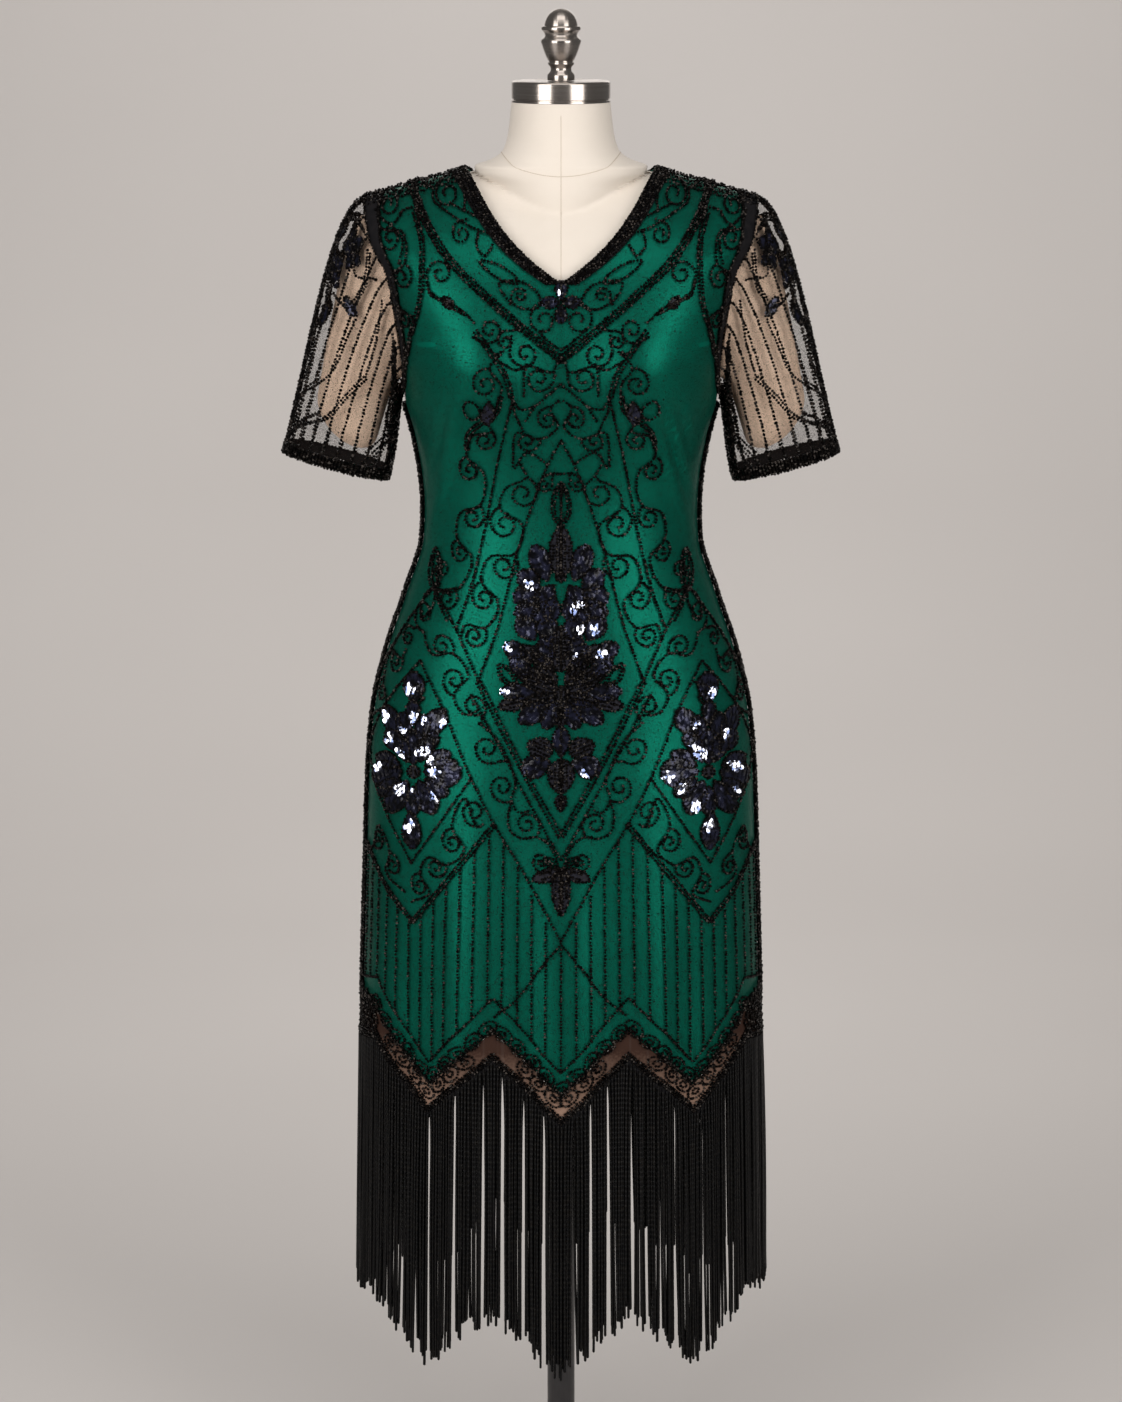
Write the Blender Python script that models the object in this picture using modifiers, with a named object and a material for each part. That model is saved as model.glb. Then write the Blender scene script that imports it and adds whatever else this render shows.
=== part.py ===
"""Flapper dress with bell sleeves and a fringed zigzag hem, on a limbless dress form.

Metres, +Z up. The front faces -Y, +X is the wearer's left, and the origin is on the floor under the pole.

Every ply of the dress is worked out from one surface, the inside of the lining. The surface is a stack of
level sections (SECTIONS) that close over the shoulders in an arch. A ply is that surface moved out by the
plies below it, then given its own thickness.
"""

import functools
import math

import bmesh
import bpy
from mathutils import Vector

# ---- Cloth ---------------------------------------------------------------------------------------------
LINING_WALL = 0.0012
NET_WALL = 0.0010
BAND_WALL = 0.0012
PLY_GAP = 0.0004
SEAM_GAP = 0.0004
NET_OUT = LINING_WALL + PLY_GAP
BAND_OUT = NET_OUT + NET_WALL + PLY_GAP
CLOTH_DEPTH = NET_OUT + NET_WALL

# ---- Figure: level sections of the finished dress, from the hem up ---------------------------------------
SECTION_COLUMNS = ("height", "half_width", "front", "back", "squareness")
SECTIONS = (
    (0.230, 0.2115, 0.152, 0.152, 2.10),
    (0.404, 0.2068, 0.148, 0.148, 2.10),
    (0.599, 0.2018, 0.142, 0.144, 2.15),
    (0.725, 0.1971, 0.133, 0.139, 2.20),
    (0.819, 0.1934, 0.124, 0.136, 2.30),
    (0.881, 0.1881, 0.117, 0.132, 2.30),
    (0.942, 0.1744, 0.112, 0.122, 2.30),
    (1.003, 0.1539, 0.107, 0.104, 2.25),
    (1.060, 0.1368, 0.101, 0.089, 2.20),
    (1.090, 0.1357, 0.099, 0.086, 2.20),
    (1.118, 0.1374, 0.100, 0.088, 2.25),
    (1.163, 0.1449, 0.105, 0.095, 2.40),
    (1.200, 0.1540, 0.110, 0.102, 2.70),
    (1.221, 0.1550, 0.112, 0.106, 2.90),
    (1.251, 0.1585, 0.113, 0.109, 3.20),
    (1.280, 0.1630, 0.111, 0.110, 3.50),
    (1.323, 0.1735, 0.104, 0.106, 3.80),
    (1.353, 0.1900, 0.096, 0.100, 4.00),
    (1.391, 0.1990, 0.080, 0.086, 4.00),
    (1.430, 0.2060, 0.060, 0.066, 4.00),
)
BUST_X = 0.082
BUST_Z = 1.235
BUST_HALF_WIDTH = 0.052
BUST_HALF_HEIGHT = 0.055
BUST_RISE = 0.020
BUST_FADE = 2.0  # how soon the bust's rise fades where the section turns to the side
WAVE_TOP = 0.90
WAVE_FULL = 0.60
WAVE_RISE = 0.0035
WAVE_LENGTH = 0.092

# ---- Shoulders and neckline ------------------------------------------------------------------------------
NECK_X = 0.0910
NECK_Z = 1.4185
TIP_X = 0.1920
TIP_Z = 1.3910
SHOULDER_FALL = (NECK_Z - TIP_Z) / (TIP_X - NECK_X)
SHOULDER_ROUND = 0.110
NECK_DROP = {"front": 0.0995, "back": 0.0700}
NECK_BOW = 0.75  # how far the edges of the V bow out between its point and the shoulders
NECK_BAND_STEP = {"front": 0.0150, "back": 0.0200}
NECK_BAND_POINT = {"front": 0.0180, "back": 0.0200}
NECK_POINT_SHARE = 0.25  # of the neck band's step, in the row of the band's own point

# ---- Armhole, seen from the front, from the underarm up --------------------------------------------------
UNDERARM_Z = 1.2000
ARMHOLE_COLUMNS = ("height", "x")
ARMHOLE = (
    (1.2000, 0.1540),
    (1.2207, 0.1518),
    (1.2510, 0.1530),
    (1.2800, 0.1573),
    (1.3226, 0.1666),
    (1.3527, 0.1828),
    (1.3910, 0.1920),
)
ARM_BAND_TOP = 0.0160
ARM_BAND_LOW = 0.0080
SEAM_BELOW_UNDERARM = 0.0096

# ---- Hem: points and notches are level with each other all round, eight of each --------------------------
COLUMNS = 12
HEM_POINTS = 2  # points in a quarter of the way round
SIDE_POINT = 0.2  # how much of a whole point the hem comes down again at the side seams
LINING_POINT_Z = 0.5250
LINING_NOTCH_Z = 0.5880
NET_BELOW_LINING = 0.0290
HEM_LEVEL_Z = 0.6500
LOWER_ROWS = (0.750, 0.830, 0.885, 0.940, 1.000, 1.055, 1.100, 1.155)
ROWS_BELOW_NECK = (0.0, 0.13, 0.41, 0.68)  # shares of the way from the underarm to the neck's point
ROWS_ABOVE_NECK = (0.0, 0.34, 0.65, 0.86, 0.967, 1.0)  # and from there to the shoulder line
NECK_ROW = len(ROWS_BELOW_NECK) + 1

# ---- Sleeve ----------------------------------------------------------------------------------------------
CUFF_CENTRE = Vector((0.2215, 0.0, 1.1290))
CUFF_LEAN = math.radians(15.0)
CUFF_RADIUS_X = 0.0507
CUFF_RADIUS_Y = 0.0340
CUFF_BAND = 0.0110
SLEEVE_ROWS = (0.0, 0.12, 0.30, 0.52, 0.76)
SLEEVE_SEAM = 0.0006
UNDERARM_CLEAR = 0.0022  # lets the sleeve's wall turn down over the armhole band
SLEEVE_LEAVE_TOP = 0.095
SLEEVE_LEAVE_LOW = 0.010
SLEEVE_LEAVE_OUT = 0.025
SLEEVE_ARRIVE_TOP = 0.280
SLEEVE_ARRIVE_LOW = 0.090

# ---- Fringe ----------------------------------------------------------------------------------------------
LOCKS = 64  # on the front, and as many on the back
HEADER_ABOVE = 0.0050
HEADER_BELOW = 0.0060
LOCK_SHARE = 0.68
FRINGE_POINT_Z = 0.2360
FRINGE_NOTCH_Z = 0.2960
FRINGE_FLARE = 1.030
FRINGE_STRAY = 0.0050
STRAY_TURN = 2.4  # radians of the stray's cycle from one lock to the next
LOCK_TAPER = 0.8

# ---- Dress form ------------------------------------------------------------------------------------------
FORM_EASE = 0.0036
FORM_EASE_UP = 0.0024
FORM_BOTTOM = 0.7600
FORM_FOOT_X = 0.95  # the rounded foot of the form, as shares of the ring above it
FORM_FOOT_Y = 0.93
FORM_TOP = NECK_Z - CLOTH_DEPTH - FORM_EASE_UP  # where its shoulders meet the foot of its neck
FORM_ROWS = (
    0.772, 0.810, 0.860, 0.915, 0.970, 1.025, 1.075, 1.120, 1.160, 1.200, 1.240, 1.285,
    1.325, 1.355, 1.378, 1.394, 1.404, 1.411, FORM_TOP,
    1.4200, 1.4255, 1.4300, 1.4350, 1.4500, 1.4807,
)
FORM_SIDES = 28
NECK_SIDES = 4  # of the sides of a quarter of a ring that lies on both the neck and the shoulders
NECK_FOOT_X = 0.035
TOUCHING = 1e-6
NECK_COLUMNS = ("height", "half_width", "depth")  # it flares out into the chest and the shoulders
NECK = (
    (1.3780, 0.0480, 0.0590),
    (1.3940, 0.0610, 0.0600),
    (1.4040, 0.0690, 0.0595),
    (1.4110, 0.0790, 0.0590),
    (1.4140, 0.0825, 0.0585),
    (1.4200, 0.0835, 0.0580),
    (1.4255, 0.0690, 0.0570),
    (1.4300, 0.0610, 0.0560),
    (1.4350, 0.0560, 0.0550),
    (1.4500, 0.0512, 0.0510),
    (1.4807, 0.0475, 0.0475),
)
PLATE_LOW = (0.1500, 1.2100)  # x and height of the arm plate's lower end
PLATE_TOP = (0.1760, 1.3850)
PLATE_MARGIN = 0.006
ARM_ROOT = 0.06
ARM_INSET = 0.90
ARM_TAPER = 0.66
ARM_ROWS = (0.10, 0.28, 0.46, 0.63, 0.80)
ARM_DOME = 5
ARM_DOME_HEIGHT = 0.026

CAP_RADIUS = 0.0475
CAP_BOTTOM = 1.4810
CAP_TOP = 1.5010
EDGE_ROUND = 0.003
FINIAL_TOP = 1.5690
FINIAL_SECTION = (  # radius, distance below the top
    (0.0, 0.0),
    (0.0082, 0.0022),
    (0.0135, 0.0078),
    (0.0160, 0.0160),
    (0.0190, 0.0182),
    (0.0190, 0.0205),
    (0.0157, 0.0252),
    (0.0194, 0.0300),
    (0.0192, 0.0320),
    (0.0165, 0.0400),
    (0.0126, 0.0490),
    (0.0126, 0.0530),
    (0.0099, 0.0572),
    (0.0132, 0.0640),
)
POLE_RADIUS = 0.0142
FLANGE_RADIUS = 0.0450
FLANGE_HEIGHT = 0.0120
COLLAR_SECTION = (  # radius, height
    (0.0210, 0.0620),
    (0.0234, 0.0590),
    (0.0246, 0.0223),
    (0.0300, 0.0143),
)
BASE_RADIUS = 0.1900
BASE_HEIGHT = 0.0080
HARD_GAP = 0.0003

SAMPLES = 72


# ---- Numbers ---------------------------------------------------------------------------------------------
def table_value(table, column, height):
    """A column of a table at this height, on a smooth curve through its rows."""
    rows = [(row[0], row[column]) for row in table]
    height = min(max(height, rows[0][0]), rows[-1][0])
    index = max(i for i in range(len(rows) - 1) if rows[i][0] <= height)

    def rise(i):
        return (rows[i + 1][1] - rows[i][1]) / (rows[i + 1][0] - rows[i][0])

    def slope(i):
        if i == 0 or i == len(rows) - 1:
            return rise(min(i, len(rows) - 2))
        before, after = rise(i - 1), rise(i)
        return 0.0 if before * after <= 0.0 else 2.0 * before * after / (before + after)

    span = rows[index + 1][0] - rows[index][0]
    t = (height - rows[index][0]) / span
    return (
        rows[index][1] * (1.0 + 2.0 * t) * (1.0 - t) ** 2
        + rows[index + 1][1] * t * t * (3.0 - 2.0 * t)
        + span * slope(index) * t * (1.0 - t) ** 2
        - span * slope(index + 1) * t * t * (1.0 - t)
    )


def section(name, height):
    return table_value(SECTIONS, SECTION_COLUMNS.index(name), height)


def mix(a, b, share):
    return a + (b - a) * share


def zigzag(share, points):
    """1 at the low points of a zigzag and 0 at its notches, with the first point at 0 and a slight one at 1."""
    phase = (share * points) % 1.0
    low = abs(1.0 - 2.0 * phase)
    return low * SIDE_POINT if share * points > points - 0.5 else low


# ---- The surface that every ply follows ------------------------------------------------------------------
def shoulder_height(x):
    """Height of the shoulder line at this distance from the middle."""
    return NECK_Z - CLOTH_DEPTH - SHOULDER_FALL * (abs(x) - NECK_X)


def bust(x, z):
    across = (abs(x) - BUST_X) / BUST_HALF_WIDTH
    up = (z - BUST_Z) / BUST_HALF_HEIGHT
    return BUST_RISE * math.exp(-across * across - up * up)


def waves(side, x, z):
    """Soft upright folds of the skirt, deeper towards the hem and none at the side seam."""
    if z >= WAVE_TOP:
        return 0.0
    fall = min(1.0, (WAVE_TOP - z) / (WAVE_TOP - WAVE_FULL))
    edge = 1.0 - (abs(x) / section("half_width", z)) ** 4
    phase = 2.0 * math.pi * x / WAVE_LENGTH + (0.0 if side == "front" else math.pi)
    return WAVE_RISE * fall * max(0.0, edge) * math.cos(phase)


def depth(side, x, z, ease=0.0, ease_up=0.0):
    """How far the surface stands in front of, or behind, the middle plane. ease draws it in."""
    half_width = section("half_width", z) - CLOTH_DEPTH - ease
    full = section(side, z) - CLOTH_DEPTH - ease
    power = section("squareness", z)
    flat = full * max(0.0, 1.0 - (abs(x) / half_width) ** power) ** (1.0 / power)
    if side == "front":
        flat += bust(x, z) * min(1.0, BUST_FADE * flat / full)
    flat += waves(side, x, z)
    below = shoulder_height(max(abs(x), NECK_X)) - ease_up - z
    arch = 1.0 - min(max(below, 0.0), SHOULDER_ROUND) / SHOULDER_ROUND
    return flat * math.sqrt(1.0 - arch * arch)


def surface_path(side, start, end, deep=depth):
    """Points of a surface from one (x, z) to another, close together where it turns to the side."""
    facing = -1.0 if side == "front" else 1.0
    path = []
    for step in range(SAMPLES + 1):
        share = math.sin(0.5 * math.pi * step / SAMPLES)
        x = mix(start[0], end[0], share)
        z = mix(start[1], end[1], share)
        path.append(Vector((x, facing * deep(side, x, z), z)))
    return path


def along(path, distances):
    """Points at these distances along a path."""
    lengths = [0.0]
    for a, b in zip(path, path[1:]):
        lengths.append(lengths[-1] + (b - a).length)
    found = []
    for distance in distances:
        distance = min(max(distance, 0.0), lengths[-1])
        index = max(i for i in range(len(path) - 1) if lengths[i] <= distance)
        span = lengths[index + 1] - lengths[index]
        found.append(path[index].lerp(path[index + 1], (distance - lengths[index]) / span))
    return found


def path_length(path):
    return sum((b - a).length for a, b in zip(path, path[1:]))


# ---- Panels ----------------------------------------------------------------------------------------------
def spaced_row(side, start, end, first_step=None, inner=None, edge=None):
    """A row of COLUMNS + 1 points. inner and edge are its last two points where it ends at the armhole."""
    path = surface_path(side, start, end)
    length = path_length(path)
    steps = COLUMNS if inner is None else COLUMNS - 1
    first = first_step or length / steps
    rest = (length - first) / (steps - 1)
    row = along(path, [0.0] + [first + rest * i for i in range(steps)])
    if inner is not None:
        row[-1] = inner.copy()
        row.append(edge.copy())
    return row


def side_x(z):
    return section("half_width", z) - CLOTH_DEPTH


def armhole_x(z):
    return table_value(ARMHOLE, ARMHOLE_COLUMNS.index("x"), z) - CLOTH_DEPTH


def on_surface(side, x, z):
    return surface_path(side, (x, z), (x, z))[0]


def nearest_at_level(side, point):
    """The point of the surface's level section that is nearest to this point."""
    path = surface_path(side, (0.0, point.z), (side_x(point.z), point.z))
    return min(path, key=lambda candidate: (candidate - point).length)


def upper_shares(side):
    """Shares of the way from the armhole band's lower corner to the shoulder line, one for each row."""
    span = shoulder_height(NECK_X) - UNDERARM_Z + ARM_BAND_LOW
    neck = 1.0 - NECK_DROP[side] / span
    below = [share * neck for share in ROWS_BELOW_NECK]
    above = [mix(neck, 1.0, share) for share in ROWS_ABOVE_NECK]
    return below + [neck - NECK_BAND_POINT[side] / span] + above


@functools.cache
def armhole(side):
    """The armhole's edge from the underarm up, and the inner line of the band that follows it."""
    top_z = shoulder_height(armhole_x(TIP_Z))
    edge = [on_surface(side, side_x(UNDERARM_Z), UNDERARM_Z)]
    shares = upper_shares(side)
    for rise in shares[1:]:
        z = mix(UNDERARM_Z, top_z, rise)
        edge.append(on_surface(side, armhole_x(z), z))
    edge[0].y = 0.0
    edge[-1].y = 0.0
    facing = -1.0 if side == "front" else 1.0
    corner = edge[0] + Vector((0.0, facing * ARM_BAND_LOW, -ARM_BAND_LOW))
    inner = [nearest_at_level(side, corner)]
    for index in range(1, len(edge) - 1):
        run = (edge[index + 1] - edge[index - 1]).normalized()
        at_level = surface_path(side, (0.0, edge[index].z), (edge[index].x, edge[index].z))
        across = at_level[-1] - along(at_level, [path_length(at_level) - ARM_BAND_LOW])[0]
        inward = -(across - run * across.dot(run)).normalized()
        width = mix(ARM_BAND_LOW, ARM_BAND_TOP, shares[index])
        inner.append(nearest_at_level(side, edge[index] + inward * width))
    tip_x = edge[-1].x - ARM_BAND_TOP
    inner.append(Vector((tip_x, 0.0, shoulder_height(tip_x))))
    return edge, inner


def neck_share(side, z):
    """How far out the neck's edge is at this height, as a share of its width at the shoulder."""
    rise = max(0.0, 1.0 - (shoulder_height(NECK_X) - z) / NECK_DROP[side])
    return rise + NECK_BOW * rise * (1.0 - rise) ** 1.5


def upper_row(side, index):
    """A row between the underarm level and the shoulder line."""
    edge, inner = armhole(side)
    left_z = mix(inner[0].z, shoulder_height(NECK_X), upper_shares(side)[index])
    first_step = None
    if index >= NECK_ROW:
        first_step = NECK_BAND_STEP[side]
    elif index == NECK_ROW - 1:
        first_step = NECK_POINT_SHARE * NECK_BAND_STEP[side]
    start = (NECK_X * neck_share(side, left_z), left_z)
    end = (inner[index].x, inner[index].z)
    return spaced_row(side, start, end, first_step, inner[index], edge[index])


def underarm_row(side):
    """The row below the armhole, which carries the lower edge of its band."""
    inner = armhole(side)[1][0]
    below = nearest_at_level(side, inner - Vector((0.0, 0.0, ARM_BAND_LOW)))
    seam_z = UNDERARM_Z - SEAM_BELOW_UNDERARM
    seam = Vector((side_x(seam_z), 0.0, seam_z))
    return spaced_row(side, (0.0, below.z), (below.x, below.z), None, below, seam)


def hem_row(side, level, below):
    """The zigzag row, straight down from the level row and stopped short of the net's hem for the lining."""
    row = []
    for column, point in enumerate(level):
        share = column / COLUMNS
        lowest = surface_at(side, share, hem_height(share) - NET_BELOW_LINING)
        rise = (NET_BELOW_LINING - below) / (point.z - lowest.z)
        row.append(lowest.lerp(point, rise))
    return row


@functools.cache
def panel_rows(side, below=0.0):
    """The rows of half a panel from the hem up. below lengthens it past the lining's hem."""
    level = spaced_row(side, (0.0, HEM_LEVEL_Z), (side_x(HEM_LEVEL_Z), HEM_LEVEL_Z))
    rows = [hem_row(side, level, below), level]
    rows.extend(spaced_row(side, (0.0, z), (side_x(z), z)) for z in LOWER_ROWS)
    rows.append(underarm_row(side))
    rows.extend(upper_row(side, index) for index in range(len(upper_shares(side))))
    return rows


def hem_height(share):
    """Height of the lining's lower edge at this share of the way from the middle to the side seam."""
    return mix(LINING_NOTCH_Z, LINING_POINT_Z, zigzag(share, HEM_POINTS))


def surface_at(side, share, z):
    """The surface at a share of the way from the middle to the side seam, at one height."""
    path = surface_path(side, (0.0, z), (side_x(z), z))
    return along(path, (path_length(path) * share,))[0]


def seam_gap(rows, side):
    """Holds the rows off the plane of the side and shoulder seams by half a seam gap."""
    facing = -1.0 if side == "front" else 1.0
    half = 0.5 * SEAM_GAP
    return [[Vector((p.x, facing * max(abs(p.y), half), p.z)) for p in row] for row in rows]


# ---- Objects ---------------------------------------------------------------------------------------------
def new_material(name, colour, roughness, metallic=0.0, alpha=1.0):
    material = bpy.data.materials.new(name)
    material.use_nodes = True
    shader = material.node_tree.nodes["Principled BSDF"]
    shader.inputs["Base Color"].default_value = (*colour, 1.0)
    shader.inputs["Roughness"].default_value = roughness
    shader.inputs["Metallic"].default_value = metallic
    shader.inputs["Alpha"].default_value = alpha
    material.diffuse_color = (*colour, 1.0)
    return material


def add_object(name, mesh, material):
    mesh.materials.append(material)
    mesh.shade_smooth()
    mesh.set_sharp_from_angle(angle=math.radians(40.0))
    obj = bpy.data.objects.new(name, mesh)
    collection.objects.link(obj)
    obj.parent = stand
    return obj


def grid_faces(points, flip):
    """Quads between neighbouring rows of equal length, as lists of points."""
    faces = []
    for low, high in zip(points, points[1:]):
        for column in range(len(low) - 1):
            face = [low[column], low[column + 1], high[column + 1], high[column]]
            faces.append(face[::-1] if flip else face)
    return faces


def mesh_of(name, faces):
    """A mesh of these faces, with corners at the same place made one."""
    bm = bmesh.new()
    for face in faces:
        bm.faces.new([bm.verts.new(point) for point in face])
    bmesh.ops.remove_doubles(bm, verts=bm.verts, dist=1e-6)
    mesh = bpy.data.meshes.new(name)
    bm.to_mesh(mesh)
    bm.free()
    return mesh


def mirrored(faces, side_sign):
    """The faces as they are for the left, or reflected for the right."""
    if side_sign > 0:
        return faces
    return [[Vector((-p.x, p.y, p.z)) for p in face[:1] + face[:0:-1]] for face in faces]


def add_ply(name, faces, material, move_out, wall, both_halves=False):
    """A cloth wall: the faces, moved out along their normals and thickened outwards."""
    obj = add_object(name, mesh_of(name, faces), material)
    if both_halves:
        mirror = obj.modifiers.new("Other half", "MIRROR")
        mirror.use_clip = True
        mirror.merge_threshold = 1e-5
    if move_out:
        displace = obj.modifiers.new("Over the plies below", "DISPLACE")
        displace.strength = move_out
        displace.mid_level = 0.0
    solidify = obj.modifiers.new("Thickness", "SOLIDIFY")
    solidify.thickness = wall
    solidify.offset = 1.0
    return obj


def turned(name, profile, material, sides=32):
    """A turned piece: a profile of (radius, height) from the top of the axis down to its foot."""
    mesh = bpy.data.meshes.new(name)
    mesh.from_pydata([(r, 0.0, z) for r, z in profile], [(i, i + 1) for i in range(len(profile) - 1)], [])
    obj = add_object(name, mesh, material)
    screw = obj.modifiers.new("Turn", "SCREW")
    screw.steps = sides
    screw.render_steps = sides
    screw.use_merge_vertices = True
    screw.merge_threshold = 1e-5
    screw.use_smooth_shade = True
    return obj


# ---- Dress -----------------------------------------------------------------------------------------------
def make_panel(side):
    flip = side == "back"
    lining = seam_gap(panel_rows(side), side)
    add_ply(f"lining_{side}", grid_faces(lining, flip), satin, 0.0, LINING_WALL, both_halves=True)
    net_rows = seam_gap(panel_rows(side, below=NET_BELOW_LINING), side)
    add_ply(f"net_{side}", grid_faces(net_rows, flip), net, NET_OUT, NET_WALL, both_halves=True)


def make_neck_band(side):
    above = len(ROWS_ABOVE_NECK) + 1
    strip = [row[:2] for row in seam_gap(panel_rows(side), side)[-above:]]
    faces = grid_faces(strip, side == "back")
    add_ply(f"neck_band_{side}", faces, beadwork, BAND_OUT, BAND_WALL, both_halves=True)


def make_armhole_band(name, side_sign):
    faces = []
    for side in ("front", "back"):
        rows = panel_rows(side)[-len(upper_shares(side)) - 1:]
        strip = [[point.copy() for point in row[-2:]] for row in rows]
        for point in (strip[0][1], strip[1][1], strip[-1][0], strip[-1][1]):
            point.y = 0.0
        faces += grid_faces(strip, side == "back")
    add_ply(name, mirrored(faces, side_sign), ribbon, BAND_OUT, BAND_WALL)


def armhole_loop():
    """The armhole from the shoulder tip down the front and up the back, with outward normals."""
    loop = []
    for side in ("front", "back"):
        edge, inner = armhole(side)
        points = []
        for index, point in enumerate(edge):
            above = edge[min(index + 1, len(edge) - 1)]
            below = edge[max(index - 1, 0)]
            across = point - inner[index]
            normal = across.cross(above - below)
            if normal.dot(Vector((point.x, point.y, 0.0))) < 0.0:
                normal.negate()
            points.append((point, normal.normalized()))
        points[0] = (Vector((points[0][0].x, 0.0, points[0][0].z)), Vector((1.0, 0.0, 0.0)))
        fall = Vector((SHOULDER_FALL, 0.0, 1.0)).normalized()
        points[-1] = (Vector((points[-1][0].x, 0.0, points[-1][0].z)), fall)
        loop += points[:0:-1] if side == "front" else points[:-1]
    return loop


def underness(turn):
    """0 at the shoulder tip and 1 at the underarm, for a share of the way round the armhole."""
    return 0.5 - 0.5 * math.cos(2.0 * math.pi * turn)


@functools.cache
def sleeve_root():
    """Where the sleeve starts, one seam off the armhole's edge, and the way it leaves the edge."""
    loop = armhole_loop()
    root = []
    for index, (point, normal) in enumerate(loop):
        onward = loop[(index + 1) % len(loop)][0] - loop[index - 1][0]
        away = normal.cross(onward).normalized()
        seam = SLEEVE_SEAM + UNDERARM_CLEAR * underness(index / len(loop))
        root.append((point + normal * NET_OUT + away * seam, away))
    return root


def turn_shares(points):
    """How far round a closed loop each point is, from 0 to 1."""
    lengths = [0.0]
    for a, b in zip(points, points[1:] + points[:1]):
        lengths.append(lengths[-1] + (b - a).length)
    return [length / lengths[-1] for length in lengths[:-1]]


CUFF_OUT = Vector((math.cos(CUFF_LEAN), 0.0, math.sin(CUFF_LEAN)))
CUFF_AXIS = Vector((math.sin(CUFF_LEAN), 0.0, -math.cos(CUFF_LEAN)))


def sleeve_point(start, away, turn, share):
    """A point of the sleeve, share of the way from the armhole to the top of the cuff band."""
    angle = 2.0 * math.pi * turn
    topness = 1.0 - underness(turn)
    rim = CUFF_OUT * (math.cos(angle) * CUFF_RADIUS_X) - Vector((0.0, math.sin(angle) * CUFF_RADIUS_Y, 0.0))
    end = CUFF_CENTRE - CUFF_AXIS * CUFF_BAND + rim
    leave = away * mix(SLEEVE_LEAVE_LOW, SLEEVE_LEAVE_TOP, math.sqrt(topness))
    leave += Vector((SLEEVE_LEAVE_OUT * (1.0 - topness), 0.0, 0.0))
    arrive = CUFF_AXIS * mix(SLEEVE_ARRIVE_LOW, SLEEVE_ARRIVE_TOP, topness)
    t = share
    return (
        start * ((1.0 + 2.0 * t) * (1.0 - t) ** 2)
        + leave * (t * (1.0 - t) ** 2)
        + end * (t * t * (3.0 - 2.0 * t))
        - arrive * (t * t * (1.0 - t))
    )


def sleeve_ring(share):
    root = sleeve_root()
    turns = turn_shares([start for start, away in root])
    return [sleeve_point(start, away, turn, share) for (start, away), turn in zip(root, turns)]


def closed_ring(ring):
    return ring + ring[:1]


def make_sleeve(name, side_sign):
    rings = [sleeve_ring(share) for share in SLEEVE_ROWS + (1.0,)]
    rings.append([point + CUFF_AXIS * CUFF_BAND for point in rings[-1]])
    faces = grid_faces([closed_ring(ring) for ring in rings], False)
    add_ply(f"sleeve_{name}", mirrored(faces, side_sign), net, 0.0, NET_WALL)
    band = grid_faces([closed_ring(ring) for ring in rings[-2:]], False)
    add_ply(f"cuff_{name}", mirrored(band, side_sign), beadwork, NET_WALL + PLY_GAP, BAND_WALL)


def ply_corner(rows, row, column, move_out):
    """A corner of a panel's grid, moved out level."""
    point = rows[row][column]
    facing = math.copysign(1.0, point.y)
    if column == 0:
        normal = Vector((0.0, facing, 0.0))
    elif column == COLUMNS:
        normal = Vector((1.0, 0.0, 0.0))
    else:
        run = rows[row][column + 1] - rows[row][column - 1]
        normal = Vector((abs(run.y), facing * run.x, 0.0)).normalized()
    return point + normal * move_out


def header_point(side, share, rise, move_out):
    """A point on the net's hem, a share from -1 to 1 of the way from seam to seam, raised and moved out."""
    rows = seam_gap(panel_rows(side, below=NET_BELOW_LINING), side)
    column = min(int(abs(share) * COLUMNS), COLUMNS - 1)
    across = abs(share) * COLUMNS - column
    low, high = (
        ply_corner(rows, row, column, move_out).lerp(ply_corner(rows, row, column + 1, move_out), across)
        for row in (0, 1)
    )
    point = low + (high - low).normalized() * rise
    if share < 0.0:
        point.x = -point.x
    return point


def lock_edges():
    """Shares of the way from seam to seam where each lock starts and ends."""
    margin = 0.5 * (1.0 - LOCK_SHARE)
    edges = []
    for index in range(LOCKS):
        edges.append(-1.0 + 2.0 * (index + margin) / LOCKS)
        edges.append(-1.0 + 2.0 * (index + 1.0 - margin) / LOCKS)
    return edges


def make_fringe(side):
    """The header strip, with every lock drawn down out of the strip's own lower face."""
    face_out = BAND_OUT + BAND_WALL
    corners = (
        (HEADER_ABOVE, face_out),
        (HEADER_ABOVE, BAND_OUT),
        (-HEADER_BELOW, BAND_OUT),
        (-HEADER_BELOW, face_out),
    )
    shares = lock_edges()
    header = [[header_point(side, share, rise, out) for rise, out in corners] for share in shares]
    faces = [header[0], header[-1][::-1]]
    for index, (near, far) in enumerate(zip(header, header[1:])):
        has_lock = index % 2 == 0
        for corner in (0, 1, 3) if has_lock else (0, 1, 2, 3):
            after = (corner + 1) % 4
            faces.append([near[corner], far[corner], far[after], near[after]])
        if has_lock:
            faces += lock_faces(near, far, index // 2, 0.5 * (shares[index] + shares[index + 1]))
    if side == "back":
        faces = [face[::-1] for face in faces]
    add_object(f"fringe_{side}", mesh_of(f"fringe_{side}", faces), thread)


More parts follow.
